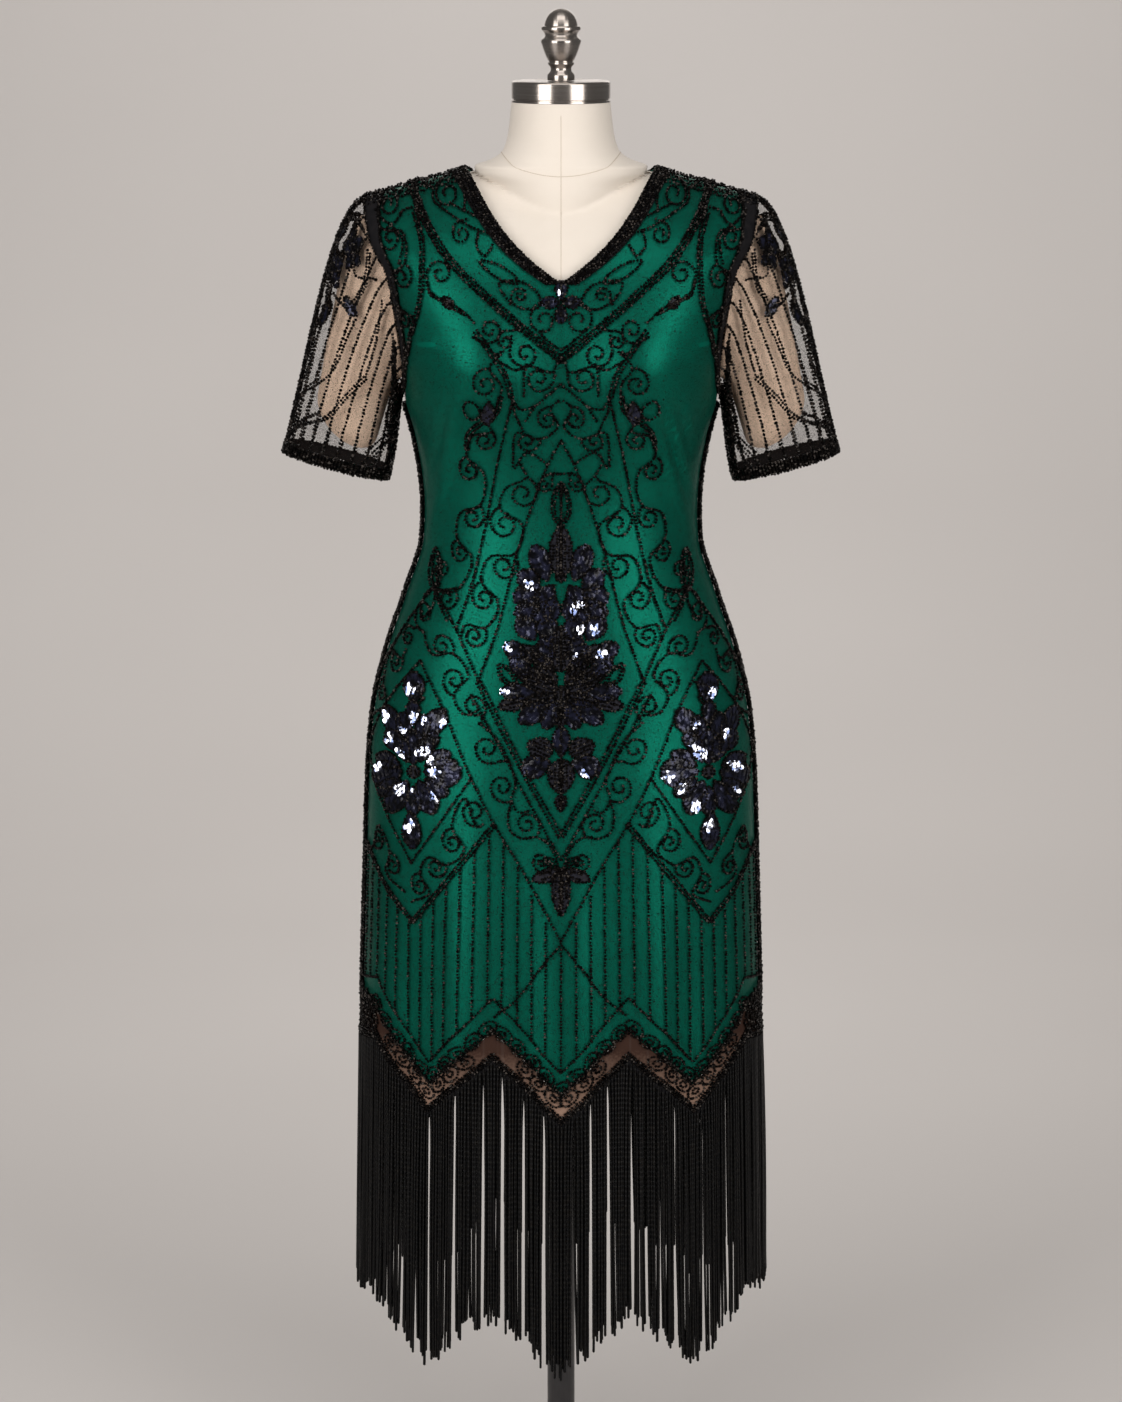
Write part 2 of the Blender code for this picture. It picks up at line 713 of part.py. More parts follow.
def lock_faces(near, far, index, share):
    """One lock: four sides and a tip, hanging from the header's lower face between two of its rings."""
    stray = FRINGE_STRAY * math.sin(index * STRAY_TURN)
    tip_z = mix(FRINGE_NOTCH_Z, FRINGE_POINT_Z, zigzag(abs(share), HEM_POINTS)) + stray
    root = [near[2], far[2], far[3], near[3]]
    middle = sum(root, Vector()) / 4.0
    tips = []
    for corner in root:
        tip = middle * FRINGE_FLARE + (corner - middle) * LOCK_TAPER
        tips.append(Vector((tip.x, tip.y, tip_z)))
    faces = [[tips[0], tips[1], tips[2], tips[3]]]
    for corner in range(4):
        after = (corner + 1) % 4
        faces.append([root[corner], root[after], tips[after], tips[corner]])
    return faces


# ---- Dress form ------------------------------------------------------------------------------------------
def plate_x(z):
    """How far out the flat arm plate lets the form reach."""
    share = (z - PLATE_LOW[1]) / (PLATE_TOP[1] - PLATE_LOW[1])
    return mix(PLATE_LOW[0], PLATE_TOP[0], share)


def neck_part(name, z):
    return table_value(NECK, NECK_COLUMNS.index(name), z)


def neck_depth(x, z):
    share = min(abs(x) / neck_part("half_width", z), 1.0)
    return neck_part("depth", z) * math.sqrt(1.0 - share * share)


def form_depth(side, x, z):
    """The form follows the inside of the dress, less its ease, and comes out of the neckline as its neck."""
    return max(depth(side, x, z, FORM_EASE, FORM_EASE_UP), neck_depth(x, z))


def is_on_neck(point):
    return point.x <= NECK_FOOT_X or 0.0 < abs(point.y) <= neck_depth(point.x, point.z) + TOUCHING


def form_quarter(side, z):
    """A quarter of a ring, with a point where the neck meets the shoulders if the ring lies on both."""
    reach = neck_part("half_width", z)
    if z < FORM_TOP:
        reach = min(side_x(z) - FORM_EASE, NECK_X + (FORM_TOP - z) / SHOULDER_FALL)
    path = surface_path(side, (0.0, z), (reach, z), form_depth)
    path[-1].y = 0.0
    length = path_length(path)
    count = FORM_SIDES // 4
    if NECK[0][0] <= z < FORM_TOP:
        meeting = path_length([point for point in path if is_on_neck(point)])
        rest = count - NECK_SIDES
        distances = [meeting * i / NECK_SIDES for i in range(NECK_SIDES)]
        distances += [mix(meeting, length, i / rest) for i in range(rest + 1)]
    else:
        distances = [length * i / count for i in range(count + 1)]
    return along(path, distances)


def form_ring(z):
    """A level ring of the form, from the front middle round by the left side."""
    half = form_quarter("front", z) + form_quarter("back", z)[-2::-1]
    if z > PLATE_LOW[1]:
        for point in half:
            point.x = min(point.x, plate_x(z))
    other = [Vector((-p.x, p.y, p.z)) for p in half[-2:0:-1]]
    return half + other


def make_form():
    rings = [form_ring(z) for z in FORM_ROWS]
    foot = [Vector((p.x * FORM_FOOT_X, p.y * FORM_FOOT_Y, FORM_BOTTOM)) for p in rings[0]]
    rings = [foot] + rings
    faces = grid_faces([closed_ring(ring) for ring in rings], False)
    faces += [foot[::-1], rings[-1]]
    add_object("form_torso", mesh_of("form_torso", faces), linen)


def make_arm(name, side_sign):
    """A padded upper arm: a flat root on the arm plate, a tapering body and a rounded end."""
    rings = []
    shares = (ARM_ROOT,) + ARM_ROWS
    for share in shares:
        ring = sleeve_ring(share)
        centre = sum(ring, Vector()) / len(ring)
        size = mix(ARM_INSET, ARM_TAPER, share / shares[-1])
        rings.append([centre + (point - centre) * size for point in ring])
    for point in rings[0]:
        point.z = min(max(point.z, PLATE_LOW[1] + PLATE_MARGIN), PLATE_TOP[1] - PLATE_MARGIN)
        point.x = plate_x(point.z) + HARD_GAP
    centre = sum(rings[-1], Vector()) / len(rings[-1])
    last = rings[-1]
    for step in range(1, ARM_DOME):
        angle = 0.5 * math.pi * step / ARM_DOME
        middle = centre + CUFF_AXIS * (ARM_DOME_HEIGHT * math.sin(angle))
        rings.append([middle + (point - centre) * math.cos(angle) for point in last])
    tip = centre + CUFF_AXIS * ARM_DOME_HEIGHT
    faces = grid_faces([closed_ring(ring) for ring in rings], False)
    faces.append(rings[0][::-1])
    end = closed_ring(rings[-1])
    faces += [[a, b, tip] for a, b in zip(end, end[1:])]
    add_object(f"form_arm_{name}", mesh_of(f"form_arm_{name}", mirrored(faces, side_sign)), linen)


def arc(centre_r, centre_z, radius, start, end, steps):
    """Profile points on an arc, angles in degrees from the outward direction."""
    points = []
    for step in range(steps + 1):
        angle = math.radians(mix(start, end, step / steps))
        points.append((centre_r + radius * math.cos(angle), centre_z + radius * math.sin(angle)))
    return points


def rounded_disc(radius, top, bottom):
    """The profile of a disc with its upper edge rounded."""
    edge = arc(radius - EDGE_ROUND, top - EDGE_ROUND, EDGE_ROUND, 90, 0, 2)
    return [(0.0, top)] + edge + [(radius, bottom), (0.0, bottom)]


def make_stand():
    turned("neck_cap", rounded_disc(CAP_RADIUS, CAP_TOP, CAP_BOTTOM), nickel)
    foot = CAP_TOP + HARD_GAP
    finial = [(radius, FINIAL_TOP - below) for radius, below in FINIAL_SECTION]
    foot_radius = FINIAL_SECTION[-1][0]
    turned("finial", finial + [(foot_radius, foot), (0.0, foot)], nickel, 16)
    flange_top = FORM_BOTTOM - HARD_GAP
    flange_low = flange_top - FLANGE_HEIGHT
    turned("form_flange", rounded_disc(FLANGE_RADIUS, flange_top, flange_low), painted, 24)
    pole_low = BASE_HEIGHT + HARD_GAP
    pole_top = flange_low - HARD_GAP
    pole = [(0.0, pole_top), (POLE_RADIUS, pole_top), (POLE_RADIUS, pole_low), (0.0, pole_low)]
    turned("pole", pole, painted, 24)
    bore = POLE_RADIUS + HARD_GAP
    collar = [(bore, COLLAR_SECTION[0][1])] + list(COLLAR_SECTION)
    collar += [(COLLAR_SECTION[-1][0], pole_low), (bore, pole_low)]
    turned("base_collar", collar + collar[:1], painted, 24)
    turned("base_plate", rounded_disc(BASE_RADIUS, BASE_HEIGHT, 0.0), painted, 48)


# ---- Scene -----------------------------------------------------------------------------------------------
for old in list(bpy.data.objects):
    bpy.data.objects.remove(old, do_unlink=True)

collection = bpy.data.collections.new("flapper_dress")
bpy.context.scene.collection.children.link(collection)
stand = bpy.data.objects.new("flapper_dress_origin", None)
collection.objects.link(stand)

satin = new_material("emerald_satin", (0.005, 0.16, 0.075), 0.36)
net = new_material("black_net", (0.012, 0.012, 0.013), 0.8, alpha=0.5)
ribbon = new_material("black_ribbon", (0.010, 0.010, 0.011), 0.75)
beadwork = new_material("black_beadwork", (0.008, 0.008, 0.009), 0.3)
thread = new_material("black_fringe", (0.006, 0.006, 0.007), 0.5)
linen = new_material("cream_linen", (0.60, 0.53, 0.42), 0.9)
nickel = new_material("brushed_nickel", (0.58, 0.56, 0.53), 0.3, metallic=1.0)
painted = new_material("black_paint", (0.015, 0.015, 0.016), 0.4)

for side_name in ("front", "back"):
    make_panel(side_name)
    make_neck_band(side_name)
    make_fringe(side_name)
for side_label, sign in (("left", 1), ("right", -1)):
    make_sleeve(side_label, sign)
    make_armhole_band(f"armhole_band_{side_label}", sign)
    make_arm(side_label, sign)
make_form()
make_stand()
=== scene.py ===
"""Looks of the beaded flapper dress and its dress form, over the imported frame.

Metres, +Z up, the front faces -Y and +X is the wearer's left. The cloth repeats the level sections of the
solids, so each piece lies on its own node. A place on the dress is given by its side, its share of the way
from the middle to the side seam (-1 to 1) and its height. The bead pattern is laid out flat: u is the length
along the cloth from the middle, z the height. Its tables give places in the front view, in millimetres out
from the middle line and down from the top of the frame, and both halves and the back repeat them.
"""

import math

import bmesh
import bpy
import numpy as np
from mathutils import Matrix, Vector


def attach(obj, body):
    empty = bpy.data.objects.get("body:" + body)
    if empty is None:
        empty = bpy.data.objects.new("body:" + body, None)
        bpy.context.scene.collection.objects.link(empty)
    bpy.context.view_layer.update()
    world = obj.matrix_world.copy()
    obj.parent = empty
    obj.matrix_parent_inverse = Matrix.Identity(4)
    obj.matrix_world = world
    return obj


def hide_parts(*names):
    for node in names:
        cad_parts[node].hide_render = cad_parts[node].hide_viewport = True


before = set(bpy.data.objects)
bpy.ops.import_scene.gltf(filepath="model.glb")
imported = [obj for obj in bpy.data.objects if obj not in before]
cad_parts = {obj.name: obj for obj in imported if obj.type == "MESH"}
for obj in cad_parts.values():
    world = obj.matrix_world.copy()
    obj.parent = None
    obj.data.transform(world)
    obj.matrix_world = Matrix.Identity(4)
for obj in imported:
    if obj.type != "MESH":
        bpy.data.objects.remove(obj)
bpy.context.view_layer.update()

MM = 0.001
SIDES = ("front", "back")
HALVES = (("left", 1.0), ("right", -1.0))

# ---- Camera ----------------------------------------------------------------------------------------------
CAMERA_DISTANCE = 3.4
CAMERA_DOWN = 0.2215  # sine of its angle below the horizon
CAMERA_LEVEL = math.sqrt(1.0 - CAMERA_DOWN ** 2)
TARGET_Z = 0.890
FRAME_ROWS = 1402
VIEW_MIDDLE_ROW = 701.0
SENSOR = 36.0

# ---- Cloth, as in the solids -----------------------------------------------------------------------------
LINING_WALL = 0.0012
NET_WALL = 0.0010
BAND_WALL = 0.0012
PLY_GAP = 0.0004
NET_OUT = LINING_WALL + PLY_GAP
BAND_OUT = NET_OUT + NET_WALL + PLY_GAP
CLOTH_DEPTH = NET_OUT + NET_WALL

SECTION_COLUMNS = ("height", "half_width", "front", "back", "squareness")
SECTIONS = (
    (0.230, 0.2115, 0.152, 0.152, 2.10),
    (0.404, 0.2068, 0.148, 0.148, 2.10),
    (0.599, 0.2018, 0.142, 0.144, 2.15),
    (0.725, 0.1971, 0.133, 0.139, 2.20),
    (0.819, 0.1934, 0.124, 0.136, 2.30),
    (0.881, 0.1881, 0.117, 0.132, 2.30),
    (0.942, 0.1744, 0.112, 0.122, 2.30),
    (1.003, 0.1539, 0.107, 0.104, 2.25),
    (1.060, 0.1368, 0.101, 0.089, 2.20),
    (1.090, 0.1357, 0.099, 0.086, 2.20),
    (1.118, 0.1374, 0.100, 0.088, 2.25),
    (1.163, 0.1449, 0.105, 0.095, 2.40),
    (1.200, 0.1540, 0.110, 0.102, 2.70),
    (1.221, 0.1550, 0.112, 0.106, 2.90),
    (1.251, 0.1585, 0.113, 0.109, 3.20),
    (1.280, 0.1630, 0.111, 0.110, 3.50),
    (1.323, 0.1735, 0.104, 0.106, 3.80),
    (1.353, 0.1900, 0.096, 0.100, 4.00),
    (1.391, 0.1990, 0.080, 0.086, 4.00),
    (1.430, 0.2060, 0.060, 0.066, 4.00),
)
BUST_X = 0.082
BUST_Z = 1.235
BUST_HALF_WIDTH = 0.052
BUST_HALF_HEIGHT = 0.055
BUST_RISE = 0.020
BUST_FADE = 2.0
WAVE_TOP = 0.90
WAVE_FULL = 0.60
WAVE_RISE = 0.0035
WAVE_LENGTH = 0.092
WAVE_EDGE = 4
RIPPLE_FULL = 0.56  # the height from which a ripple has its whole rise

NECK_X = 0.0910
NECK_Z = 1.4185
TIP_X = 0.1920
TIP_Z = 1.3910
SHOULDER_FALL = (NECK_Z - TIP_Z) / (TIP_X - NECK_X)
SHOULDER_ROUND = 0.110
NECK_DROP = {"front": 0.0995, "back": 0.0700}
NECK_BOW = 0.75
NECK_BAND_STEP = {"front": 0.0150, "back": 0.0200}

UNDERARM_Z = 1.2000
ARMHOLE = (  # height, x
    (1.2000, 0.1540),
    (1.2207, 0.1518),
    (1.2510, 0.1530),
    (1.2800, 0.1573),
    (1.3226, 0.1666),
    (1.3527, 0.1828),
    (1.3910, 0.1920),
)
ARM_BAND_TOP = 0.0160
ARM_BAND_LOW = 0.0080
SEAM_BELOW_UNDERARM = 0.0096

HEM_POINTS = 2
SIDE_POINT = 0.2
LINING_POINT_Z = 0.5250
LINING_NOTCH_Z = 0.5880
NET_BELOW_LINING = 0.0290
HEM_LEVEL_Z = 0.6500

CUFF_CENTRE = np.array((0.2215, 0.0, 1.1290))
CUFF_LEAN = math.radians(15.0)
CUFF_OUT = np.array((math.cos(CUFF_LEAN), 0.0, math.sin(CUFF_LEAN)))
CUFF_AXIS = np.array((math.sin(CUFF_LEAN), 0.0, -math.cos(CUFF_LEAN)))
CUFF_RADIUS_X = 0.0507
CUFF_RADIUS_Y = 0.0340
CUFF_BAND = 0.0110
SLEEVE_SEAM = 0.0006
UNDERARM_CLEAR = 0.0022
SLEEVE_LEAVE_TOP = 0.095
SLEEVE_LEAVE_LOW = 0.010
SLEEVE_LEAVE_OUT = 0.025
SLEEVE_ARRIVE_TOP = 0.280
SLEEVE_ARRIVE_LOW = 0.090

HEADER_ABOVE = 0.0050
HEADER_BELOW = 0.0060
FRINGE_POINT_Z = 0.2360
FRINGE_NOTCH_Z = 0.2960
FRINGE_FLARE = 1.030

FORM_EASE = 0.0036
FORM_EASE_UP = 0.0024
FORM_BOTTOM = 0.7600
FORM_TOP = NECK_Z - CLOTH_DEPTH - FORM_EASE_UP
NECK_COLUMNS = ("height", "half_width", "depth")
NECK = (
    (1.3780, 0.0480, 0.0590),
    (1.3940, 0.0610, 0.0600),
    (1.4040, 0.0690, 0.0595),
    (1.4110, 0.0790, 0.0590),
    (1.4140, 0.0825, 0.0585),
    (1.4200, 0.0835, 0.0580),
    (1.4255, 0.0690, 0.0570),
    (1.4300, 0.0610, 0.0560),
    (1.4350, 0.0560, 0.0550),
    (1.4500, 0.0512, 0.0510),
    (1.4807, 0.0475, 0.0475),
)
PLATE_LOW = (0.1500, 1.2100)
PLATE_TOP = (0.1760, 1.3850)
PLATE_MARGIN = 0.006
ARM_ROOT = 0.06
ARM_END = 0.80
ARM_INSET = 0.90
ARM_TAPER = 0.66
ARM_DOME_HEIGHT = 0.026

CAP_RADIUS = 0.0475
CAP_BOTTOM = 1.4810
CAP_TOP = 1.5010
FINIAL_TOP = 1.5690
BASE_RADIUS = 0.1900
BASE_HEIGHT = 0.0080
POLE_RADIUS = 0.0142
HARD_GAP = 0.0003

# ---- Drape: soft ridges (rise over 0) and troughs, as lines on one side of the dress ---------------------
FOLDS = (  # side, x1, z1, x2, z2, half width, rise
    ("front", 0.0905, 1.1860, 0.1290, 1.0640, 0.0050, 0.0034),
    ("front", 0.1015, 1.1990, 0.1330, 1.0930, 0.0045, 0.0036),
    ("front", 0.1190, 1.2000, 0.1290, 1.1380, 0.0045, 0.0026),
    ("front", 0.0970, 1.1900, 0.1240, 1.0900, 0.0045, -0.0022),
    ("front", 0.1130, 1.1980, 0.1350, 1.1150, 0.0040, -0.0020),
    ("front", 0.1280, 1.2610, 0.1440, 1.2570, 0.0030, 0.0022),
    ("front", 0.1190, 1.2480, 0.1450, 1.2400, 0.0050, 0.0014),
    ("front", -0.0960, 1.1660, -0.1335, 1.0620, 0.0046, 0.0038),
    ("front", -0.0990, 1.1990, -0.1270, 1.1060, 0.0060, 0.0034),
    ("front", -0.1170, 1.1880, -0.1310, 1.1280, 0.0050, 0.0020),
    ("front", -0.0890, 1.1850, -0.1230, 1.0900, 0.0050, -0.0022),
    ("front", -0.1090, 1.1850, -0.1300, 1.1000, 0.0045, -0.0022),
    ("front", -0.1180, 1.2600, -0.1440, 1.2600, 0.0032, 0.0022),
    ("front", -0.1210, 1.2440, -0.1450, 1.2360, 0.0055, 0.0012),
    ("back", 0.0500, 1.1500, 0.1200, 1.0850, 0.0065, 0.0036),
    ("back", 0.0420, 1.1250, 0.1150, 1.0600, 0.0070, 0.0034),
    ("back", 0.0450, 1.1400, 0.1160, 1.0720, 0.0055, -0.0020),
    ("back", 0.0600, 1.0950, 0.1200, 1.0400, 0.0060, 0.0026),
    ("back", -0.0460, 1.1580, -0.1190, 1.0900, 0.0070, 0.0034),
    ("back", -0.0480, 1.1240, -0.1140, 1.0640, 0.0060, 0.0038),
    ("back", -0.0470, 1.1420, -0.1150, 1.0760, 0.0055, -0.0020),
    ("back", -0.0640, 1.0900, -0.1220, 1.0450, 0.0060, 0.0024),
    ("back", 0.0900, 1.2700, 0.1400, 1.2350, 0.0070, 0.0026),
    ("back", -0.0850, 1.2750, -0.1400, 1.2380, 0.0075, 0.0024),
)
FOLD_DEPTH = 2.3  # times the rise in the table
FOLD_FADE = 2.0  # half widths over which a fold fades out past its ends
FOLD_EDGE = 8
RIPPLES = (  # side, x, top, half width, rise
    ("front", 0.018, 0.800, 0.0075, 0.0018),
    ("front", 0.060, 0.740, 0.0090, -0.0022),
    ("front", 0.098, 0.800, 0.0080, 0.0024),
    ("front", 0.140, 0.760, 0.0090, 0.0026),
    ("front", -0.026, 0.760, 0.0085, -0.0020),
    ("front", -0.052, 0.820, 0.0080, 0.0022),
    ("front", -0.106, 0.780, 0.0085, 0.0026),
    ("front", -0.148, 0.740, 0.0080, -0.0020),
    ("back", 0.030, 0.820, 0.0090, 0.0024),
    ("back", 0.082, 0.760, 0.0080, -0.0024),
    ("back", 0.128, 0.800, 0.0090, 0.0028),
    ("back", -0.020, 0.780, 0.0080, -0.0022),
    ("back", -0.066, 0.800, 0.0085, 0.0026),
    ("back", -0.118, 0.760, 0.0090, 0.0024),
)

# ---- Beads -----------------------------------------------------------------------------------------------
BEAD_RADIUS = 0.00182
BEAD_PITCH = 0.00325
BEAD_OUT = CLOTH_DEPTH + 0.0009
BEAD_SIZES = (0.86, 1.12)
BEAD_STRAY = 0.00022
SEQUIN_LENGTH = 0.0070
SEQUIN_WIDTH = 0.0048
SEQUIN_OUT = CLOTH_DEPTH + 0.0012
SEQUIN_TIP = 0.10
SEQUIN_CORNERS = 8
SEQUIN_DOME = 0.00025
LOOSE_NORMAL = (0.33, 0.93, 0.20)  # the way that loose sequins face: out to a side, away from the cloth, up
LOOSE_REACH = 4.6
# The loose sequins are tipped towards the lamps and also take the lighter painted glint colour.
LOOSE_PAINTED_GLINT_PETALS = {"sleeve": 0.0, "middle": 0.24, "side": 0.72}  # share of the petals with a few loose sequins
SIDE_FLOWER_FROM = 100
PETAL_PEAK = 1.25  # for leaves filled with sequins
LEAF_PEAK = 0.85
LEAF_BLUNTNESS = 0.62
GROUND_OUT = CLOTH_DEPTH + 0.0004
LEAF_ROWS = 12
LEAF_COLUMNS = 5
LEAF_LINE_SPACING = 3.1
RING_BASE = 3.5  # how far a ring leaf's inner line starts inside its outer one
RING_SHORTER = 7.0
RING_NARROWER = 6.5
CURVE_STEP = 0.0010

LINES = (  # rows, spacing, anchors (out, down) in the front view
    (3, 3.0, ((150, 182), (139, 214), (115, 256), (71, 301), (33, 334), (0, 360))),
    (1, 0.0, ((22, 333), (10, 344), (0, 350))),
    (2, 3.4, ((146, 214), (139, 240), (138, 272), (140, 304), (148, 336), (154, 374))),
    (1, 0.0, ((133, 283), (129, 296), (112, 304), (98, 312), (86, 324))),
    (1, 0.0, ((130, 292), (112, 307), (96, 316))),
    (2, 3.6, ((86, 332), (71, 353), (57, 375), (50, 397))),
    (1, 0.0, ((127, 190), (127, 202), (112, 215), (92, 228), (64, 239))),
    (1, 0.0, ((112, 205), (92, 215), (70, 227))),
    (1, 0.0, ((82, 233), (84, 249), (76, 257), (68, 246))),
    (1, 0.0, ((146, 178), (132, 188), (124, 192))),
    (1, 0.0, ((147, 210), (156, 212), (163, 222), (175, 232))),
    (1, 0.0, ((183, 212), (176, 222), (166, 230), (158, 240), (158, 254), (160, 264))),
    (1, 0.0, ((166, 290), (166, 300), (160, 308), (154, 318))),
    (1, 0.0, ((0, 384), (15, 396), (26, 406), (36, 420))),
    (1, 0.0, ((26, 405), (40, 409), (50, 398))),
    (1, 0.0, ((50, 398), (46, 414), (38, 430))),
    (1, 0.0, ((60, 352), (66, 355), (71, 352))),
    (1, 0.0, ((62, 362), (44, 370), (34, 364))),
    (1, 0.0, ((14, 464), (24, 456), (33, 452), (46, 468))),
    (1, 0.0, ((0, 474), (10, 473), (19, 478))),
    (1, 0.0, ((0, 440), (12, 462), (24, 493), (40, 541), (64, 632), (82, 681))),
    (1, 0.0, ((49, 398), (62, 458), (77, 538), (91, 594), (103, 627))),
    (2, 3.6, ((61, 396), (64, 410), (82, 424), (92, 434), (93, 448))),
    (1, 0.0, ((125, 588), (104, 630), (82, 682))),
    (1, 0.0, ((102, 588), (108, 590), (124, 590))),
    (2, 4.2, ((82, 682), (40, 766), (0, 838))),
    (1, 0.0, ((90, 694), (46, 776), (0, 861))),
    (1, 0.0, ((139, 661), (116, 712), (91, 775), (71, 817), (37, 873), (0, 942))),
    (1, 0.0, ((0, 944), (22, 972), (45, 1000), (66, 1016))),
    (1, 0.0, ((139, 661), (160, 686), (178, 714), (187, 745), (184, 777), (170, 818), (148, 863))),
    (1, 0.0, ((89, 778), (118, 820), (148, 863))),
    (2, 3.4, ((66, 824), (106, 873), (147, 922))),
    (2, 3.4, ((147, 922), (170, 890), (191, 842))),
    (1, 0.0, ((126, 588), (149, 620), (174, 664), (187, 700))),
    (1, 0.0, ((82, 723), (66, 737), (50, 766), (45, 784), (49, 801), (40, 813), (32, 811))),
    (1, 0.0, ((49, 801), (53, 820), (49, 833), (36, 839), (25, 837), (14, 843), (4, 859))),
)

CHAINS = (  # start, scrolls (out, down, size, way it winds in, 1 to the left), end
    (
        (40, 464),
        ((38, 494, 14, 1), (56, 525, 14, -1), (57, 567, 13, 1), (77, 599, 12, -1), (86, 637, 11, 1)),
        (100, 640),
    ),
    ((2, 400), ((14, 419, 10, -1), (34, 441, 10, 1)), (48, 466)),
    ((58, 352), ((76, 384, 12, -1),), (66, 410)),
    (
        (72, 424),
        ((76, 440, 10, 1), (90, 470, 11, -1), (87, 518, 11, 1), (99, 553, 10, -1), (112, 600, 10, 1)),
        (112, 622),
    ),
    ((122, 590), ((116, 570, 9, 1),), None),
    ((80, 724), ((87, 706, 11, -1), (106, 680, 12, 1), (118, 646, 11, -1), (135, 614, 13, 1)), None),
    ((52, 762), ((74, 749, 13, 1),), None),
    ((49, 801), ((59, 787, 12, 1),), None),
    ((24, 838), ((34, 824, 11, -1),), None),
    ((184, 196), ((172, 207, 11, 1), (169, 240, 11, -1), (157, 278, 11, 1), (154, 318, 10, -1)), (150, 352)),
    ((104, 180), ((113, 196, 13, -1),), (96, 214)),
    ((94, 222), ((99, 236, 9, -1),), None),
    ((131, 291), ((120, 274, 12, 1),), None),
    ((4, 302), ((18, 321, 14, -1),), None),
    ((50, 336), ((36, 355, 13, -1),), None),
    ((4, 362), ((23, 379, 13, 1),), (38, 396)),
    ((88, 338), ((71, 331, 11, -1),), None),
    ((52, 306), ((41, 296, 7, 1),), None),
    ((44, 330), ((56, 342, 8, -1),), None),
    ((152, 650), ((163, 662, 11, 1), (176, 692, 10, -1)), (185, 716)),
    ((140, 628), ((150, 638, 9, -1),), None),
    ((78, 824), ((87, 812, 12, 1), (108, 843, 11, -1), (124, 868, 10, 1), (140, 886, 10, -1)), (148, 902)),
    ((192, 850), ((180, 838, 10, -1), (166, 866, 10, 1)), (154, 892)),
    ((4, 876), ((20, 862, 9, 1),), None),
    ((132, 682), ((141, 696, 9, -1),), None),
    ((8, 474), ((17, 485, 7, 1),), None),
)
SPIRAL = (  # turns, radius
    (0.0, 1.30), (0.25, 0.90), (0.50, 0.76), (0.75, 0.66), (1.0, 0.52), (1.25, 0.32), (1.45, 0.14),
)
STEM_REACH = 1.26  # how far off a scroll's middle the stem passes it
STEM_LEAN = 15.0

LEAVES = (  # out, down, turn from upright outwards, length, width, filling
    (0, 577, 0, 52, 23, "beads"),
    (13, 581, 21, 38, 21, "sequins"),
    (22, 590, 45, 26, 21, "sequins"),
    (21, 594, 100, 26, 22, "sequins"),
    (8, 586, 148, 26, 21, "sequins"),
    (23, 599, 138, 24, 19, "sequins"),
    (7, 596, 172, 26, 16, "sequins"),
    (27, 605, 122, 21, 17, "sequins"),
    (15, 601, 162, 24, 17, "sequins"),
    (0, 582, 0, 10, 10, "beads"),
    (0, 672, 0, 46, 22, "beads"),
    (10, 642, 14, 26, 21, "sequins"),
    (26, 640, 36, 27, 20, "sequins"),
    (35, 657, 60, 24, 17, "sequins"),
    (23, 662, 45, 23, 15, "beads"),
    (9, 662, 20, 28, 16, "sequins"),
    (46, 686, 36, 27, 14, "ring"),
    (4, 690, 69, 41, 18, "beads"),
    (5, 684, 38, 36, 15, "beads"),
    (34, 700, 104, 29, 15, "beads"),
    (4, 697, 100, 34, 14, "beads"),
    (10, 701, 124, 38, 20, "sequins"),
    (5, 702, 157, 29, 17, "sequins"),
    (0, 700, 180, 28, 14, "beads"),
    (13, 668, 26, 26, 19, "sequins"),
    (30, 676, 46, 27, 18, "sequins"),
    (22, 682, 56, 30, 17, "beads"),
    (24, 694, 86, 36, 17, "sequins"),
    (12, 680, 20, 28, 17, "beads"),
    (0, 702, 0, 16, 16, "beads"),
    (9, 754, 66, 26, 22, "beads"),
    (0, 757, 0, 30, 17, "sequins"),
    (11, 762, 108, 29, 23, "sequins"),
    (0, 760, 180, 34, 26, "beads"),
    (0, 795, 180, 16, 11, "beads"),
    (0, 868, 180, 48, 18, "beads"),
    (3, 872, 108, 27, 13, "beads"),
    (3, 868, 60, 18, 10, "ring"),
    (0, 300, 0, 18, 12, "sequins"),
    (2, 303, 90, 17, 12, "sequins"),
    (0, 306, 180, 17, 12, "sequins"),
    (43, 284, 60, 44, 12, "outline"),
    (21, 306, 62, 46, 24, "outline"),
    (108, 309, 40, 15, 9, "beads"),
    (72, 401, 176, 22, 13, "sequins"),
    (84, 418, 30, 20, 15, "outline"),
    (0, 526, 0, 44, 19, "ring"),
    (124, 592, -2, 44, 12, "ring"),
    (126, 590, 160, 30, 11, "outline"),
    (145, 704, 0, 32, 20, "sequins"),
    (146, 725, 0, 25, 13, "sequins"),
    (134, 736, -35, 32, 21, "sequins"),
    (160, 742, 18, 38, 16, "sequins"),
    (146, 764, 0, 34, 25, "sequins"),
    (157, 753, 32, 27, 17, "sequins"),
    (137, 753, -32, 25, 16, "sequins"),
    (157, 772, 100, 29, 28, "sequins"),
    (135, 772, -92, 36, 30, "sequins"),
    (152, 781, 150, 36, 21, "sequins"),
    (141, 781, -155, 36, 22, "sequins"),
    (149, 811, 184, 38, 18, "sequins"),
    (151, 762, 22, 28, 15, "sequins"),
    (140, 762, -24, 28, 15, "sequins"),
    (159, 766, 66, 25, 16, "sequins"),
    (134, 766, -62, 27, 17, "sequins"),
    (159, 779, 128, 26, 16, "sequins"),
    (134, 779, -128, 27, 17, "sequins"),
    (146, 787, 180, 28, 16, "sequins"),
    (140, 741, -14, 26, 15, "sequins"),
    (152, 738, 10, 26, 15, "sequins"),
    (146, 778, 0, 12, 12, "beads"),
)

